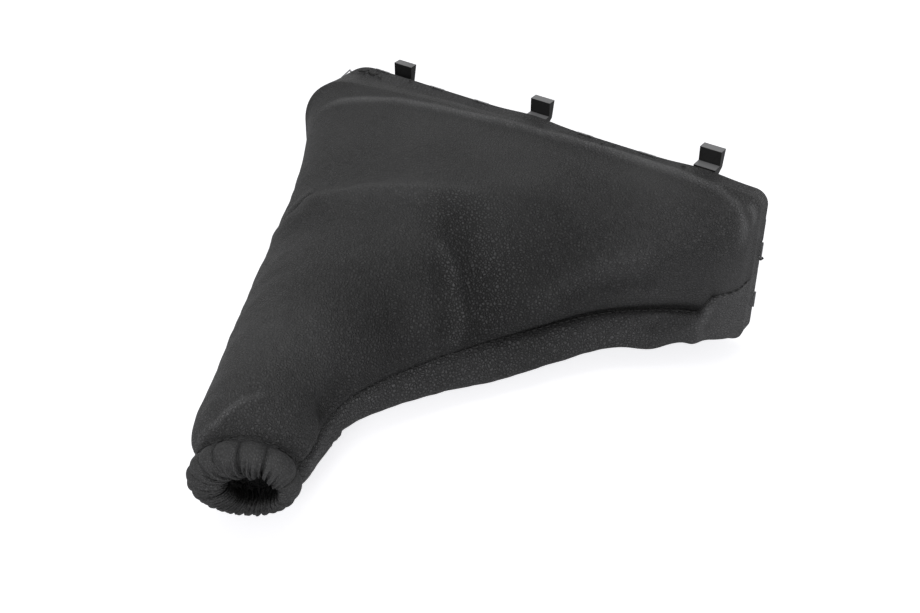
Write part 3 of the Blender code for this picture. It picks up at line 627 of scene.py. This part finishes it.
# bright wire, duller in patches
def steelPaint():
    paint = Paint("stapleWire")
    where = paint.place()
    mottle = paint.noise(where, 900.0, 3.0)
    tone = paint.blend(paint.between(mottle, 0.45, 0.75), grey(0.42), grey(0.16))
    paint.set(Base_Color=tone, Metallic=1.0, Roughness=0.28 + mottle * 0.2)
    return paint.material


# matt covered elastic, ribbed by its yarns
def elasticPaint():
    paint = Paint("coveredElastic")
    where = paint.place()
    yarn = paint.node("ShaderNodeTexWave", {}, {"Vector": where, "Scale": 380.0, "Distortion": 1.5})
    tone = paint.blend(yarn, grey(0.008), grey(0.02))
    paint.set(Base_Color=tone, Roughness=0.85, Normal=paint.bump(yarn, 0.0001))
    return paint.material


# twisted black thread
def threadPaint():
    paint = Paint("sewingThread")
    where = paint.place()
    twist = paint.node("ShaderNodeTexWave", {}, {"Vector": where, "Scale": 900.0, "Distortion": 2.0})
    tone = paint.blend(twist, grey(0.003), grey(0.010))
    paint.set(Base_Color=tone, Roughness=0.75, Normal=paint.bump(twist, 0.00008))
    return paint.material


paints = {
    "leather": leatherPaint("pebbledLeather", 0.0265, 0.00125, 0.9),
    "hem": leatherPaint("hemLeather", 0.0270, 0.0010, 0.22),
    "plastic": plasticPaint(),
    "steel": steelPaint(),
    "elastic": elasticPaint(),
    "thread": threadPaint(),
}
print("materials made")


# painted values that follow the form
look = {
    "grain": 0.50,
    "grainGain": 0.40,
    "grainStart": (0.16, 0.40),
    "grainDrift": (0.12, 0.06, 8),      # how much, wavelength, seed
    "shadeDrift": (0.05, 0.03, 9),
    # painted light over the whole lower half
    "lowerShade": 1.1,                  # what the lower half has more of
    "lowerGrain": 0.25,
    # painted highlight along the band where the moulding's edge lifts the leather
    "band": 1.9,
    # painted light on the frame's right end
    "endLight": 0.55,                    # paler on the frame's right end
    "endShare": (0.06, 0.16),
    "endAcross": (0.10, 0.2),
    # painted light on the leather towards the neck
    "neckLight": 0.35,
    "neckShare": (0.70, 0.85),
    # painted shade where the neck's end curls in by the hem's stitches
    "curlShade": ((0.30, 0.970, 0.995), (0.35, 0.988, 1.0)),     # darker next to the hem's stitches
    # painted shade under the fold that hides the right seam
    "buried": ((0.45, 0.030), (1.9, 0.011)),                    # darker under the fold by the right seam
    "buriedStart": (0.10, 0.14),
    "buriedEnd": (0.36, 0.62),
    "bareWidth": 0.013,                 # no rough strip by the raised hooks, or below these heights
    "bareHeights": (0.066, 0.071),
}

# local tones: what they change, by how much, half width, and the places they run through; the shade rows are
# painted light and shade along the folds: highlights on ridges, swells, the neck's crease and the right
# corner, shade in creases
upperTones = (
    ("grain", -0.45, 0.030, ((0.36, 0.62), (0.60, 0.66), (0.85, 0.55))),
    ("grain", 1.0, 0.012, ((0.38, 0.40), (0.445, 0.29), (0.52, 0.12))),
    ("grain", 0.3, 0.010, ((0.50, 0.30), (0.58, 0.12))),
    ("shade", 0.75, 0.018, ((0.40, 0.38), (0.445, 0.30), (0.505, 0.135))),
    ("shade", -0.30, 0.006, ((0.80, 0.09), (0.87, 0.07))),
    ("shade", -0.30, 0.004, ((0.235, 0.077), (0.30, 0.095), (0.37, 0.10))),
    ("shade", -0.45, 0.0016, ((0.475, 0.84), (0.425, 0.782), (0.37, 0.757))),
    ("shade", 1.3, 0.0012, ((0.50, 0.875), (0.455, 0.853), (0.42, 0.815), (0.375, 0.785))),
    ("shade", 0.55, 0.0050, ((0.435, 0.70), (0.405, 0.635), (0.36, 0.545), (0.31, 0.43))),
    ("shade", -0.55, 0.0042, ((0.415, 0.36), (0.455, 0.285), (0.515, 0.15), (0.545, 0.06))),
    ("shade", 0.60, 0.0030, ((0.45, 0.36), (0.49, 0.27), (0.545, 0.16), (0.575, 0.07))),
    ("shade", -0.28, 0.0035, ((0.50, 0.302), (0.54, 0.212), (0.58, 0.12))),
    ("shade", 2.2, 0.0011, ((0.99, 0.845), (0.98, 0.647), (0.955, 0.525), (0.94, 0.415))),
    ("shade", 2.5, 0.0018, ((0.028, 0.125), (0.033, 0.112))),
    ("shade", 0.22, 0.006, ((0.435, 0.70), (0.36, 0.545), (0.31, 0.43))),
    ("shade", 0.20, 0.003, ((0.465, 0.315), (0.535, 0.205), (0.57, 0.08))),
    ("shade", 0.55, 0.006, ((0.235, 0.14), (0.30, 0.145), (0.405, 0.122))),
    ("worn", 0.30, 0.0006, ((0.99, 0.845), (0.985, 0.745), (0.98, 0.647), (0.965, 0.575))),
    ("worn", 0.12, 0.0007, ((0.965, 0.575), (0.955, 0.525), (0.94, 0.415))),
)
# on the lower half: a painted highlight along a ridge and painted shade in a hollow
lowerTones = (
    ("shade", 0.9, 0.002, ((0.125, 0.01), (0.135, 0.05), (0.12, 0.135))),
    ("shade", -0.8, 0.005, ((0.165, 0.03), (0.215, 0.05))),
)


# how strongly the grain shows, how much painted light and shade and how much rubbing the leather takes, how
# far in millimetres a point lies behind the fold line, and where there is no rough strip; each local tone is
# a bell across its run
def leatherMarks(share, across, points, upper):
    grainDrift, grainWave, grainSeed = look["grainDrift"]
    shadeDrift, shadeWave, shadeSeed = look["shadeDrift"]
    tones = {
        "grain": look["grain"] + look["grainGain"] * ease(share, *look["grainStart"]),
        "shade": 1.0 + shadeDrift * softWaves(points, shadeWave, shadeSeed),
        "worn": np.zeros(share.shape),
    }
    tones["grain"] += grainDrift * softWaves(points, grainWave, grainSeed)
    for key, amount, width, places in upperTones if upper else lowerTones:
        away = distanceToRun(points, runOnSurface(places, upper, 4)) / width
        tones[key] += amount * np.exp(-(away**2))
    shade = tones["shade"]
    # painted highlight along the moulding's edge on the upper half; painted light over the whole lower half
    if upper:
        shade += look["band"] * pressedBandAndHighlight(points)
    else:
        shade += look["lowerShade"]
        tones["grain"] += look["lowerGrain"]
    # painted light on the frame's right end and towards the neck
    end = (1 - ease(share, *look["endShare"])) * (1 - ease(across, *look["endAcross"]))
    shade += look["endLight"] * end + look["neckLight"] * ease(share, *look["neckShare"])
    # painted shade where the neck's end curls in by the hem's stitches
    for amount, low, high in look["curlShade"]:
        shade -= amount * ease(share, low, high)
    # painted shade under the fold that hides the right seam
    buried = ease(share, *look["buriedStart"]) * (1 - ease(share, *look["buriedEnd"]))
    for amount, width in look["buried"]:
        shade -= amount * np.exp(-((across / width) ** 2)) * buried
    lineX, lineY = np.array(leather["foldLine"]).T
    behind = (points[..., 1] - np.interp(points[..., 0], lineX, lineY)) * 1000
    hooks = np.array(clip["hooks"][: clip["raised"]])
    bare = np.max(np.exp(-(((points[..., :1] - hooks) / look["bareWidth"]) ** 4)), axis=-1)
    bare = np.maximum(bare, 1 - ease(points[..., 2], *look["bareHeights"]))
    return {
        "grain": np.clip(tones["grain"], 0.05, 1.9),
        "shade": np.clip(shade, 0.04, 4.0),
        "worn": np.clip(tones["worn"], 0.0, 1.0),
        "behind": behind,
        "bare": bare,
    }


# one half on its grid of rows and columns: a groove beside each seam, the neck's end curled in and
# puckered, and a turned-in allowance along both seams
def makeLeather(name, node, upper):
    u = np.linspace(0.0, 1.0, leather["columns"])
    columns = (1 - leather["columnBias"]) * u + leather["columnBias"] * (0.5 - 0.5 * np.cos(math.pi * u))
    share, across = np.meshgrid(panelRows(), columns, indexing="ij")
    points, outward = bootSurface(share, across, upper)
    marks = leatherMarks(share, across, points, upper)
    # the grooves are deepest and widest under the fold on the right
    depth, halfWidth = leather["groove"]
    depthGain, widthGain = leather["grooveGain"]
    hidden = ease(share, *leather["foldStart"]) * (1 - ease(share, *leather["foldEnd"]))
    for column in (0, -1):
        away = np.linalg.norm(points - points[:, column:column + 1 or None], axis=-1)
        under = hidden * (column == 0)
        dip = (depth + depthGain * under) * np.exp(-((away / (halfWidth + widthGain * under)) ** 2))
        points -= outward * (dip * ease(share, *leather["grooveStart"]))[..., None]
    curl = leather["curl"] * ease(share, leather["curlStart"], 1.0) ** 2
    deep, turns, sway, swayTurns = leather["pucker"]
    pucker = 0.5 + 0.5 * np.cos(across * math.pi * turns + sway * np.sin(swayTurns * across))
    points -= outward * (curl + deep * pucker * ease(share, *leather["puckerStart"]))[..., None]
    side = points[:, :1] - points[:, -1:]
    side[..., 2] = 0
    side /= np.linalg.norm(side, axis=-1)[..., None]
    start = ease(share[:, :1], *leather["flapStart"])
    width = leather["flap"] * start * (1 - leather["flapCut"] * ease(share[:, :1], *leather["flapEnd"]))
    width = width + leather["flapLeast"]
    steps = leather["flapSteps"]
    right = [points[:, :1] - side * (width * step)[..., None] for step in steps[::-1]]
    left = [points[:, -1:] + side * (width * step)[..., None] for step in steps]
    points = np.concatenate(right + [points] + left, axis=1)
    marks = {key: np.pad(values, ((0, 0), (len(steps), len(steps))), "edge") for key, values in marks.items()}
    quads = gridQuads(*points.shape[:2])
    faces = (quads if upper else quads[:, ::-1]).tolist()
    piece = makePiece(name, points, faces, paints["leather"], marks)
    thickenSheet(piece, leather["thick"], node)


makeLeather("upper_leather", "upper_panel", True)
makeLeather("lower_leather", "lower_panel", False)
print("leather halves made")

# the gathered hem: a strip folded double over the elastic and sewn inside the neck's end
hem = {
    "drawnFor": 0.020,            # radius that the section is drawn for
    "thick": 0.0009,
    "hole": 0.0098,
    "shift": 0.003,               # how far the hole sits to the right of the neck's middle
    "cut": (0.036, 0.165),        # the strip's flat width and length
    "area": 0.0055,
    "overhang": 0.04,             # the gathers reach further at the top, and less at the bottom
    # along the neck from the stitch line, and radius, from the outer root over the tip to the inner root
    "section": (
        (-0.003, 0.0176), (0.0002, 0.0177), (0.0020, 0.0192), (0.0050, 0.0201), (0.0080, 0.0190),
        (0.0098, 0.0160), (0.0102, 0.0130), (0.0092, 0.0107), (0.0069, 0.0098), (0.0042, 0.0106),
        (0.0010, 0.0131), (-0.003, 0.0161),
    ),
    # places of the creases between gathers, in degrees round the neck from its right side over the top
    "creases": (
        12, 58, 88, 118, 138, 157, 174, 190, 204, 217, 229, 240, 251, 262, 272, 282, 292, 303, 315, 330,
    ),
    # the gathers: rise, level that they dip under, roundness, and the width in radians of a full one
    "lift": 0.0026,
    "dipLevel": 0.72,
    "roundness": 0.42,
    "fullWidth": 0.42,
    "slants": ((0.05, 3, 1.0), (0.10, 1, -0.6)),      # how far, turns, start
    # where they come and fade, as shares of the section from its outer root, and how much they fade
    "liftStart": (0.03, 0.26),
    "liftEnd": (0.62, 0.9),
    "liftFade": 0.62,
    # the smooth lobe at the lower right: where in degrees, its half width, how much it calms
    "lobe": (350, 0.32, 0.5, 0.7),
    "pleatRise": 0.00075,
    "pleatTurns": (39, 67),
    "pleatStart": (0.32, 0.58),
    "pleatEnd": (0.9, 1.0),
    # painted shade: the hem at its palest, then what the valleys, the inside, the root and the pleats take
    # away
    "shade": 1.15,
    "valley": (0.85, 0.55, 0.05, 0.2),
    "inside": (1.0, 0.60, 0.70),
    "root": (0.6, 0.02, 0.14),
    "pinch": (0.45, 0.34, 0.56),
    "rows": 96,
    "columns": 500,
}


# centre, axis, side and up of the neck's stitch line, with its half width and half height
def neckFrame():
    right, left, half, ahead, up = sectionFrame(np.array([1.0]))
    lean = math.radians(boot["lean"][-1])
    centre = ((right + left) / 2)[0]
    centre[2] = (boot["neckCrown"] + boot["neckBelly"]) / 2
    axis = ahead[0] * math.cos(lean) - np.array([0.0, 0.0, math.sin(lean)])
    wide = float(np.linalg.norm(half[0]))
    return centre, axis, half[0] / wide, up[0], wide, (boot["neckCrown"] - boot["neckBelly"]) / 2


# points at a distance along the neck's axis and a radius, round the neck's ellipse; the hole is off its
# middle, and the gathers hang over it a little
def aroundNeck(along, radius, angle):
    centre, axis, side, up, halfWidth, halfHeight = neckFrame()
    shift = hem["shift"] * ((hem["drawnFor"] - radius) / (hem["drawnFor"] - hem["hole"])) ** 2
    return (
        centre
        + (along * (1 + hem["overhang"] * np.sin(angle)))[..., None] * axis
        + (radius * np.cos(angle) * halfWidth / hem["drawnFor"] + shift)[..., None] * side
        + (radius * np.sin(angle) * halfHeight / hem["drawnFor"])[..., None] * up
    )


# points evenly spread along a broken line, rounded by a cubic through its points
def softLine(run, count):
    run = np.asarray(run, float)
    knots = np.linspace(0.0, 1.0, len(run))
    t = np.linspace(0.0, 1.0, count)
    slopes = np.gradient(run, knots, axis=0)
    cell = np.clip(np.searchsorted(knots, t) - 1, 0, len(run) - 2)
    span = knots[1]
    s = ((t - knots[cell]) / span)[:, None]
    return (
        (2 * s**3 - 3 * s**2 + 1) * run[cell]
        + (s**3 - 2 * s**2 + s) * span * slopes[cell]
        + (3 * s**2 - 2 * s**3) * run[cell + 1]
        + (s**3 - s**2) * span * slopes[cell + 1]
    )


# gathers round the neck: a pillow between each two creases, higher where it is wider
def pillows(angle, slant):
    creases = np.radians(np.array(hem["creases"], float))
    ends = np.concatenate([creases, creases[:1] + 2 * math.pi])
    turned = np.mod(angle + slant - creases[0], 2 * math.pi) + creases[0]
    cell = np.clip(np.searchsorted(ends, turned) - 1, 0, len(creases) - 1)
    wide = ends[cell + 1] - ends[cell]
    t = (turned - ends[cell]) / wide
    height = np.minimum(wide / hem["fullWidth"], 1.0) ** 0.5
    return height * np.sin(math.pi * np.clip(t, 0, 1)) ** hem["roundness"]


# the folded section carried round the neck; gathers and fine pleats push it along its own normal
def makeHem():
    section = softLine(hem["section"], hem["rows"])
    run = np.gradient(section, axis=0)
    normal = np.stack([-run[:, 1], run[:, 0]], axis=-1)
    normal /= np.linalg.norm(normal, axis=-1)[:, None]
    normal = -normal if normal[len(normal) // 2, 0] < 0 else normal
    along01 = np.linspace(0.0, 1.0, hem["rows"])[:, None]
    angle = np.linspace(0.0, 2 * math.pi, hem["columns"], endpoint=False)[None, :]
    slant = sum(far * np.sin(turns * angle + start) for far, turns, start in hem["slants"]) * along01
    gather = pillows(angle, slant)
    where, halfWidth, gatherCalm, pleatCalm = hem["lobe"]
    lobe = np.exp(-((np.mod(angle - math.radians(where) + math.pi, 2 * math.pi) - math.pi) / halfWidth) ** 2)
    rise = ease(along01, *hem["liftStart"]) * (1 - hem["liftFade"] * ease(along01, *hem["liftEnd"]))
    lift = hem["lift"] * rise * (1 - gatherCalm * lobe) * (gather - hem["dipLevel"])
    broad, fine = hem["pleatTurns"]
    pleats = np.sin(angle * broad + 2.2 * np.sin(5 * angle)) + 0.6 * np.sin(angle * fine + 1.1)
    pleats = np.sign(pleats) * np.abs(pleats) ** 0.7
    drawn = ease(along01, *hem["pleatStart"]) * (1 - ease(along01, *hem["pleatEnd"]))
    lift = lift + hem["pleatRise"] * pleats * drawn * (1 - pleatCalm * lobe)
    along = section[:, :1] + normal[:, :1] * lift
    radius = section[:, 1:] + normal[:, 1:] * lift
    points = aroundNeck(along, radius, np.broadcast_to(angle, along.shape))
    shape = points.shape[:2]
    # painted shade in the valleys between gathers, inside the hole, at the root and in the pleats' pinches
    dark, level, low, high = hem["valley"]
    shade = hem["shade"] - dark * np.clip(1 - gather / level, 0.0, 1.0) * ease(along01, low, high)
    dark, low, high = hem["inside"]
    shade = shade - dark * ease(along01, low, high)
    dark, low, high = hem["root"]
    shade = shade - dark * (1 - ease(along01, low, high))
    dark, low, high = hem["pinch"]
    shade = shade - dark * (0.5 - 0.5 * np.clip(pleats, -1.0, 1.0)) * ease(along01, low, high)
    marks = {
        "grain": np.full(shape, 0.8),
        "shade": np.clip(shade, 0.04, 1.5),
        "worn": np.zeros(shape),
        "behind": np.zeros(shape),
        "bare": np.ones(shape),
    }
    faces = gridQuads(*shape, closed=True).tolist()
    piece = makePiece("hem_leather", points, faces, paints["hem"], marks)
    thickenSheet(piece, hem["thick"], "gathered_hem")


makeHem()
print("gathered hem made")

thread = {
    "radius": 0.00026,
    "stitch": 0.0021,
    "pitch": 0.0029,
    "bow": 0.0003,                # how far a stitch stands out in its middle
    "sides": 6,
    "rings": 5,
    "seamShares": (0.02, 0.985),
    "seamPoints": 400,
    "sunk": 0.0007,               # how deep the seams' threads lie, and where they sink in
    "sunkStart": (0.05, 0.14),
    "hemAhead": 0.0003,           # the hem's ring: along the neck from its stitch line, and its radius
    "hemRadius": 0.0188,
    "hemPoints": 300,
}


# short capsules laid end to end along a path, each bowed outwards a little
def makeStitches(name, path, outward):
    steps = np.linalg.norm(np.diff(path, axis=0), axis=1)
    run = np.concatenate([[0.0], np.cumsum(steps)])
    starts = np.arange(0.0, run[-1] - thread["stitch"], thread["pitch"])
    t = np.linspace(0.0, 1.0, thread["rings"])
    where = starts[:, None] + t[None, :] * thread["stitch"]
    centre = np.stack([np.interp(where, run, path[:, i]) for i in range(3)], axis=-1)
    out = np.stack([np.interp(where, run, outward[:, i]) for i in range(3)], axis=-1)
    out /= np.linalg.norm(out, axis=-1)[..., None]
    along = np.gradient(centre, axis=1)
    along /= np.linalg.norm(along, axis=-1)[..., None]
    centre = centre + out * (thread["bow"] * np.sin(math.pi * t))[None, :, None]
    radius = thread["radius"] * np.clip(np.sin(math.pi * (0.06 + 0.88 * t)) * 1.6, 0.25, 1.0)
    radius = np.broadcast_to(radius, where.shape)
    makeRods(name, centre, radius, out, np.cross(along, out), thread["sides"])


# a row in each seam's groove, and one round the neck where the hem is sewn in
def makeThreads():
    share = np.linspace(*thread["seamShares"], thread["seamPoints"])
    half = sectionFrame(share)[2]
    side = half / np.linalg.norm(half, axis=-1)[:, None]
    sunk = (thread["sunk"] * ease(share, *thread["sunkStart"]))[:, None]
    down = np.array([[0.0, 0.0, leather["gap"] / 2]])
    for name, seam, sign in (("right_seam_thread", 0.0, 1), ("left_seam_thread", 1.0, -1)):
        line = bootSurface(share[:, None], np.full((len(share), 1), seam), True)[0][:, 0]
        makeStitches(name, line - down - sign * side * sunk, sign * side)
    count = thread["hemPoints"]
    angle = np.linspace(0.0, 2 * math.pi, count)
    ring = aroundNeck(np.full(count, thread["hemAhead"]), np.full(count, thread["hemRadius"]), angle)
    centre, axis = neckFrame()[:2]
    out = ring - centre
    makeStitches("hem_thread", ring, out / np.linalg.norm(out, axis=-1)[:, None] + axis)


makeThreads()
print("threads made")

# the parts that keep their own solids get their finish
finishes = {"clip_frame": "plastic", "elastic_ring": "elastic", "staple": "steel"}
for node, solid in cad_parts.items():
    for start, finish in finishes.items():
        if node.startswith(start):
            solid.data.materials.clear()
            solid.data.materials.append(paints[finish])

# torn bits and crumbs of leather left along the raw edge
crumbs = {
    "rings": 5,
    "sides": 6,
    "flat": 0.7,                  # height of a section as a share of its width
    "least": 0.25,                # thickness at the ends
    # x, y, height, length, thickness, turn in degrees
    "places": (
        (-0.1970, -0.0078, 0.0752, 0.0042, 0.0009, 10), (-0.1945, -0.0074, 0.0758, 0.0036, 0.0008, 70),
        (-0.1920, -0.0070, 0.0752, 0.0046, 0.0009, -20), (-0.1895, -0.0070, 0.0753, 0.0030, 0.0007, 40),
        (-0.1865, -0.0078, 0.0750, 0.0034, 0.0007, -35), (-0.1725, -0.0032, 0.0752, 0.0018, 0.0006, 15),
        (-0.0711, -0.0053, 0.0752, 0.0016, 0.0005, 60), (-0.0667, -0.0030, 0.0744, 0.0018, 0.0006, -10),
        (-0.0344, -0.0031, 0.0753, 0.0018, 0.0006, 25), (0.0026, 0.0004, 0.0425, 0.0024, 0.0010, 80),
    ),
}


# short lumpy slivers: a half wave thick along their run, with a quicker wave on it, and bent up or down
def makeCrumbs():
    x, y, z, length, thick, turn = np.array(crumbs["places"]).T[:, :, None]
    t = np.linspace(0.0, 1.0, crumbs["rings"])[None, :]
    turn = np.radians(turn)
    run = length * (t - 0.5)
    bend = 0.25 * run * np.sin(5 * t)
    centre = np.stack([x + run * np.cos(turn), y + run * np.sin(turn), z + bend], axis=-1)
    lumps = 0.8 + 0.35 * np.sin(9 * t + 200 * x)
    radius = thick * (crumbs["least"] + np.sin(math.pi * t) * lumps)
    side = np.stack([-np.sin(turn), np.cos(turn), 0 * turn], axis=-1)
    up = np.array([[[0.0, 0.0, crumbs["flat"]]]])
    makeRods("torn_bits", centre, radius, side, up, crumbs["sides"], smooth=False)


makeCrumbs()
print("torn bits made")

# the photograph's view: angles in degrees, the place counted as the moulding's is
view = {"lens": 51.89, "sensor": 36.0, "lookDown": 35.35, "turn": 35.0, "place": (0.16162, -0.44086, 0.33950)}

studio = {
    "floor": 0.80,                # how pale the floor is
    "reach": 4.0,
    "drop": 0.0002,               # the floor lies this much under the part
    "lift": 0.66,                 # light that only the camera sees on it, so that it turns white
    "sky": 0.26,                  # plain light from all round
    # lamps: place, size and power
    "lamps": {
        "topLight": ((-0.25, 0.25, 1.5), 1.1, 6.5),
        "keyLight": ((0.75, -1.15, 0.55), 0.9, 15.0),
    },
}


def makeCamera():
    lens = bpy.data.cameras.new("camera")
    lens.lens = view["lens"]
    lens.sensor_width = view["sensor"]
    lens.clip_start = 0.01
    camera = bpy.data.objects.new("camera", lens)
    camera.location = np.array(view["place"]) + place
    camera.rotation_euler = (math.radians(90 - view["lookDown"]), 0.0, math.radians(view["turn"]))
    bpy.context.scene.collection.objects.link(camera)
    bpy.context.scene.camera = camera


# square soft lamps that look at the origin
def makeLamps():
    for name, (where, size, power) in studio["lamps"].items():
        lamp = bpy.data.lights.new(name, "AREA")
        lamp.shape = "SQUARE"
        lamp.size = size
        lamp.energy = power
        item = bpy.data.objects.new(name, lamp)
        item.location = where
        x, y, z = where
        item.rotation_euler = (math.atan2(math.hypot(x, y), z), 0.0, math.atan2(x, -y))
        bpy.context.scene.collection.objects.link(item)


# white where the camera and reflections see it, a soft plain light for everything else
def makeWorld():
    world = bpy.data.worlds.new("studio")
    bpy.context.scene.world = world
    world.use_nodes = True
    nodes = world.node_tree.nodes
    links = world.node_tree.links
    path = nodes.new("ShaderNodeLightPath")
    strength = nodes.new("ShaderNodeMapRange")
    seen = path.outputs["Is Camera Ray"]
    for other in ("Is Glossy Ray", "Is Transmission Ray"):
        either = nodes.new("ShaderNodeMath")
        either.operation = "MAXIMUM"
        links.new(seen, either.inputs[0])
        links.new(path.outputs[other], either.inputs[1])
        seen = either.outputs[0]
    links.new(seen, strength.inputs[0])
    strength.inputs["To Min"].default_value = studio["sky"]
    strength.inputs["To Max"].default_value = 1.0
    background = nodes["Background"]
    background.inputs["Color"].default_value = (1.0, 1.0, 1.0, 1.0)
    links.new(strength.outputs[0], background.inputs["Strength"])


# pale floor: plain diffuse, with a camera-only lift to white that leaves the shadow in
def makeFloor():
    mesh = bpy.data.meshes.new("floor")
    reach = studio["reach"]
    corners = [(-reach, -reach, 0), (reach, -reach, 0), (reach, reach, 0), (-reach, reach, 0)]
    mesh.from_pydata(corners, [], [(0, 1, 2, 3)])
    floor = bpy.data.objects.new("floor", mesh)
    floor.location = (0.0, 0.0, -studio["drop"])
    bpy.context.scene.collection.objects.link(floor)
    paint = Paint("paleFloor")
    paint.set(Base_Color=grey(studio["floor"]), Roughness=0.9, Specular_IOR_Level=0.0)
    seen = paint.node("ShaderNodeLightPath", output="Is Camera Ray")
    glow = paint.node("ShaderNodeEmission", {}, {"Color": grey(1.0), "Strength": seen * studio["lift"]})
    both = paint.node("ShaderNodeAddShader", {}, {0: Signal(paint, paint.shader.outputs[0]), 1: glow})
    paint.feed(paint.output.inputs["Surface"], both)
    mesh.materials.append(paint.material)


makeCamera()
makeWorld()
makeFloor()
makeLamps()
bpy.context.scene.view_settings.view_transform = "Standard"
print("studio made")
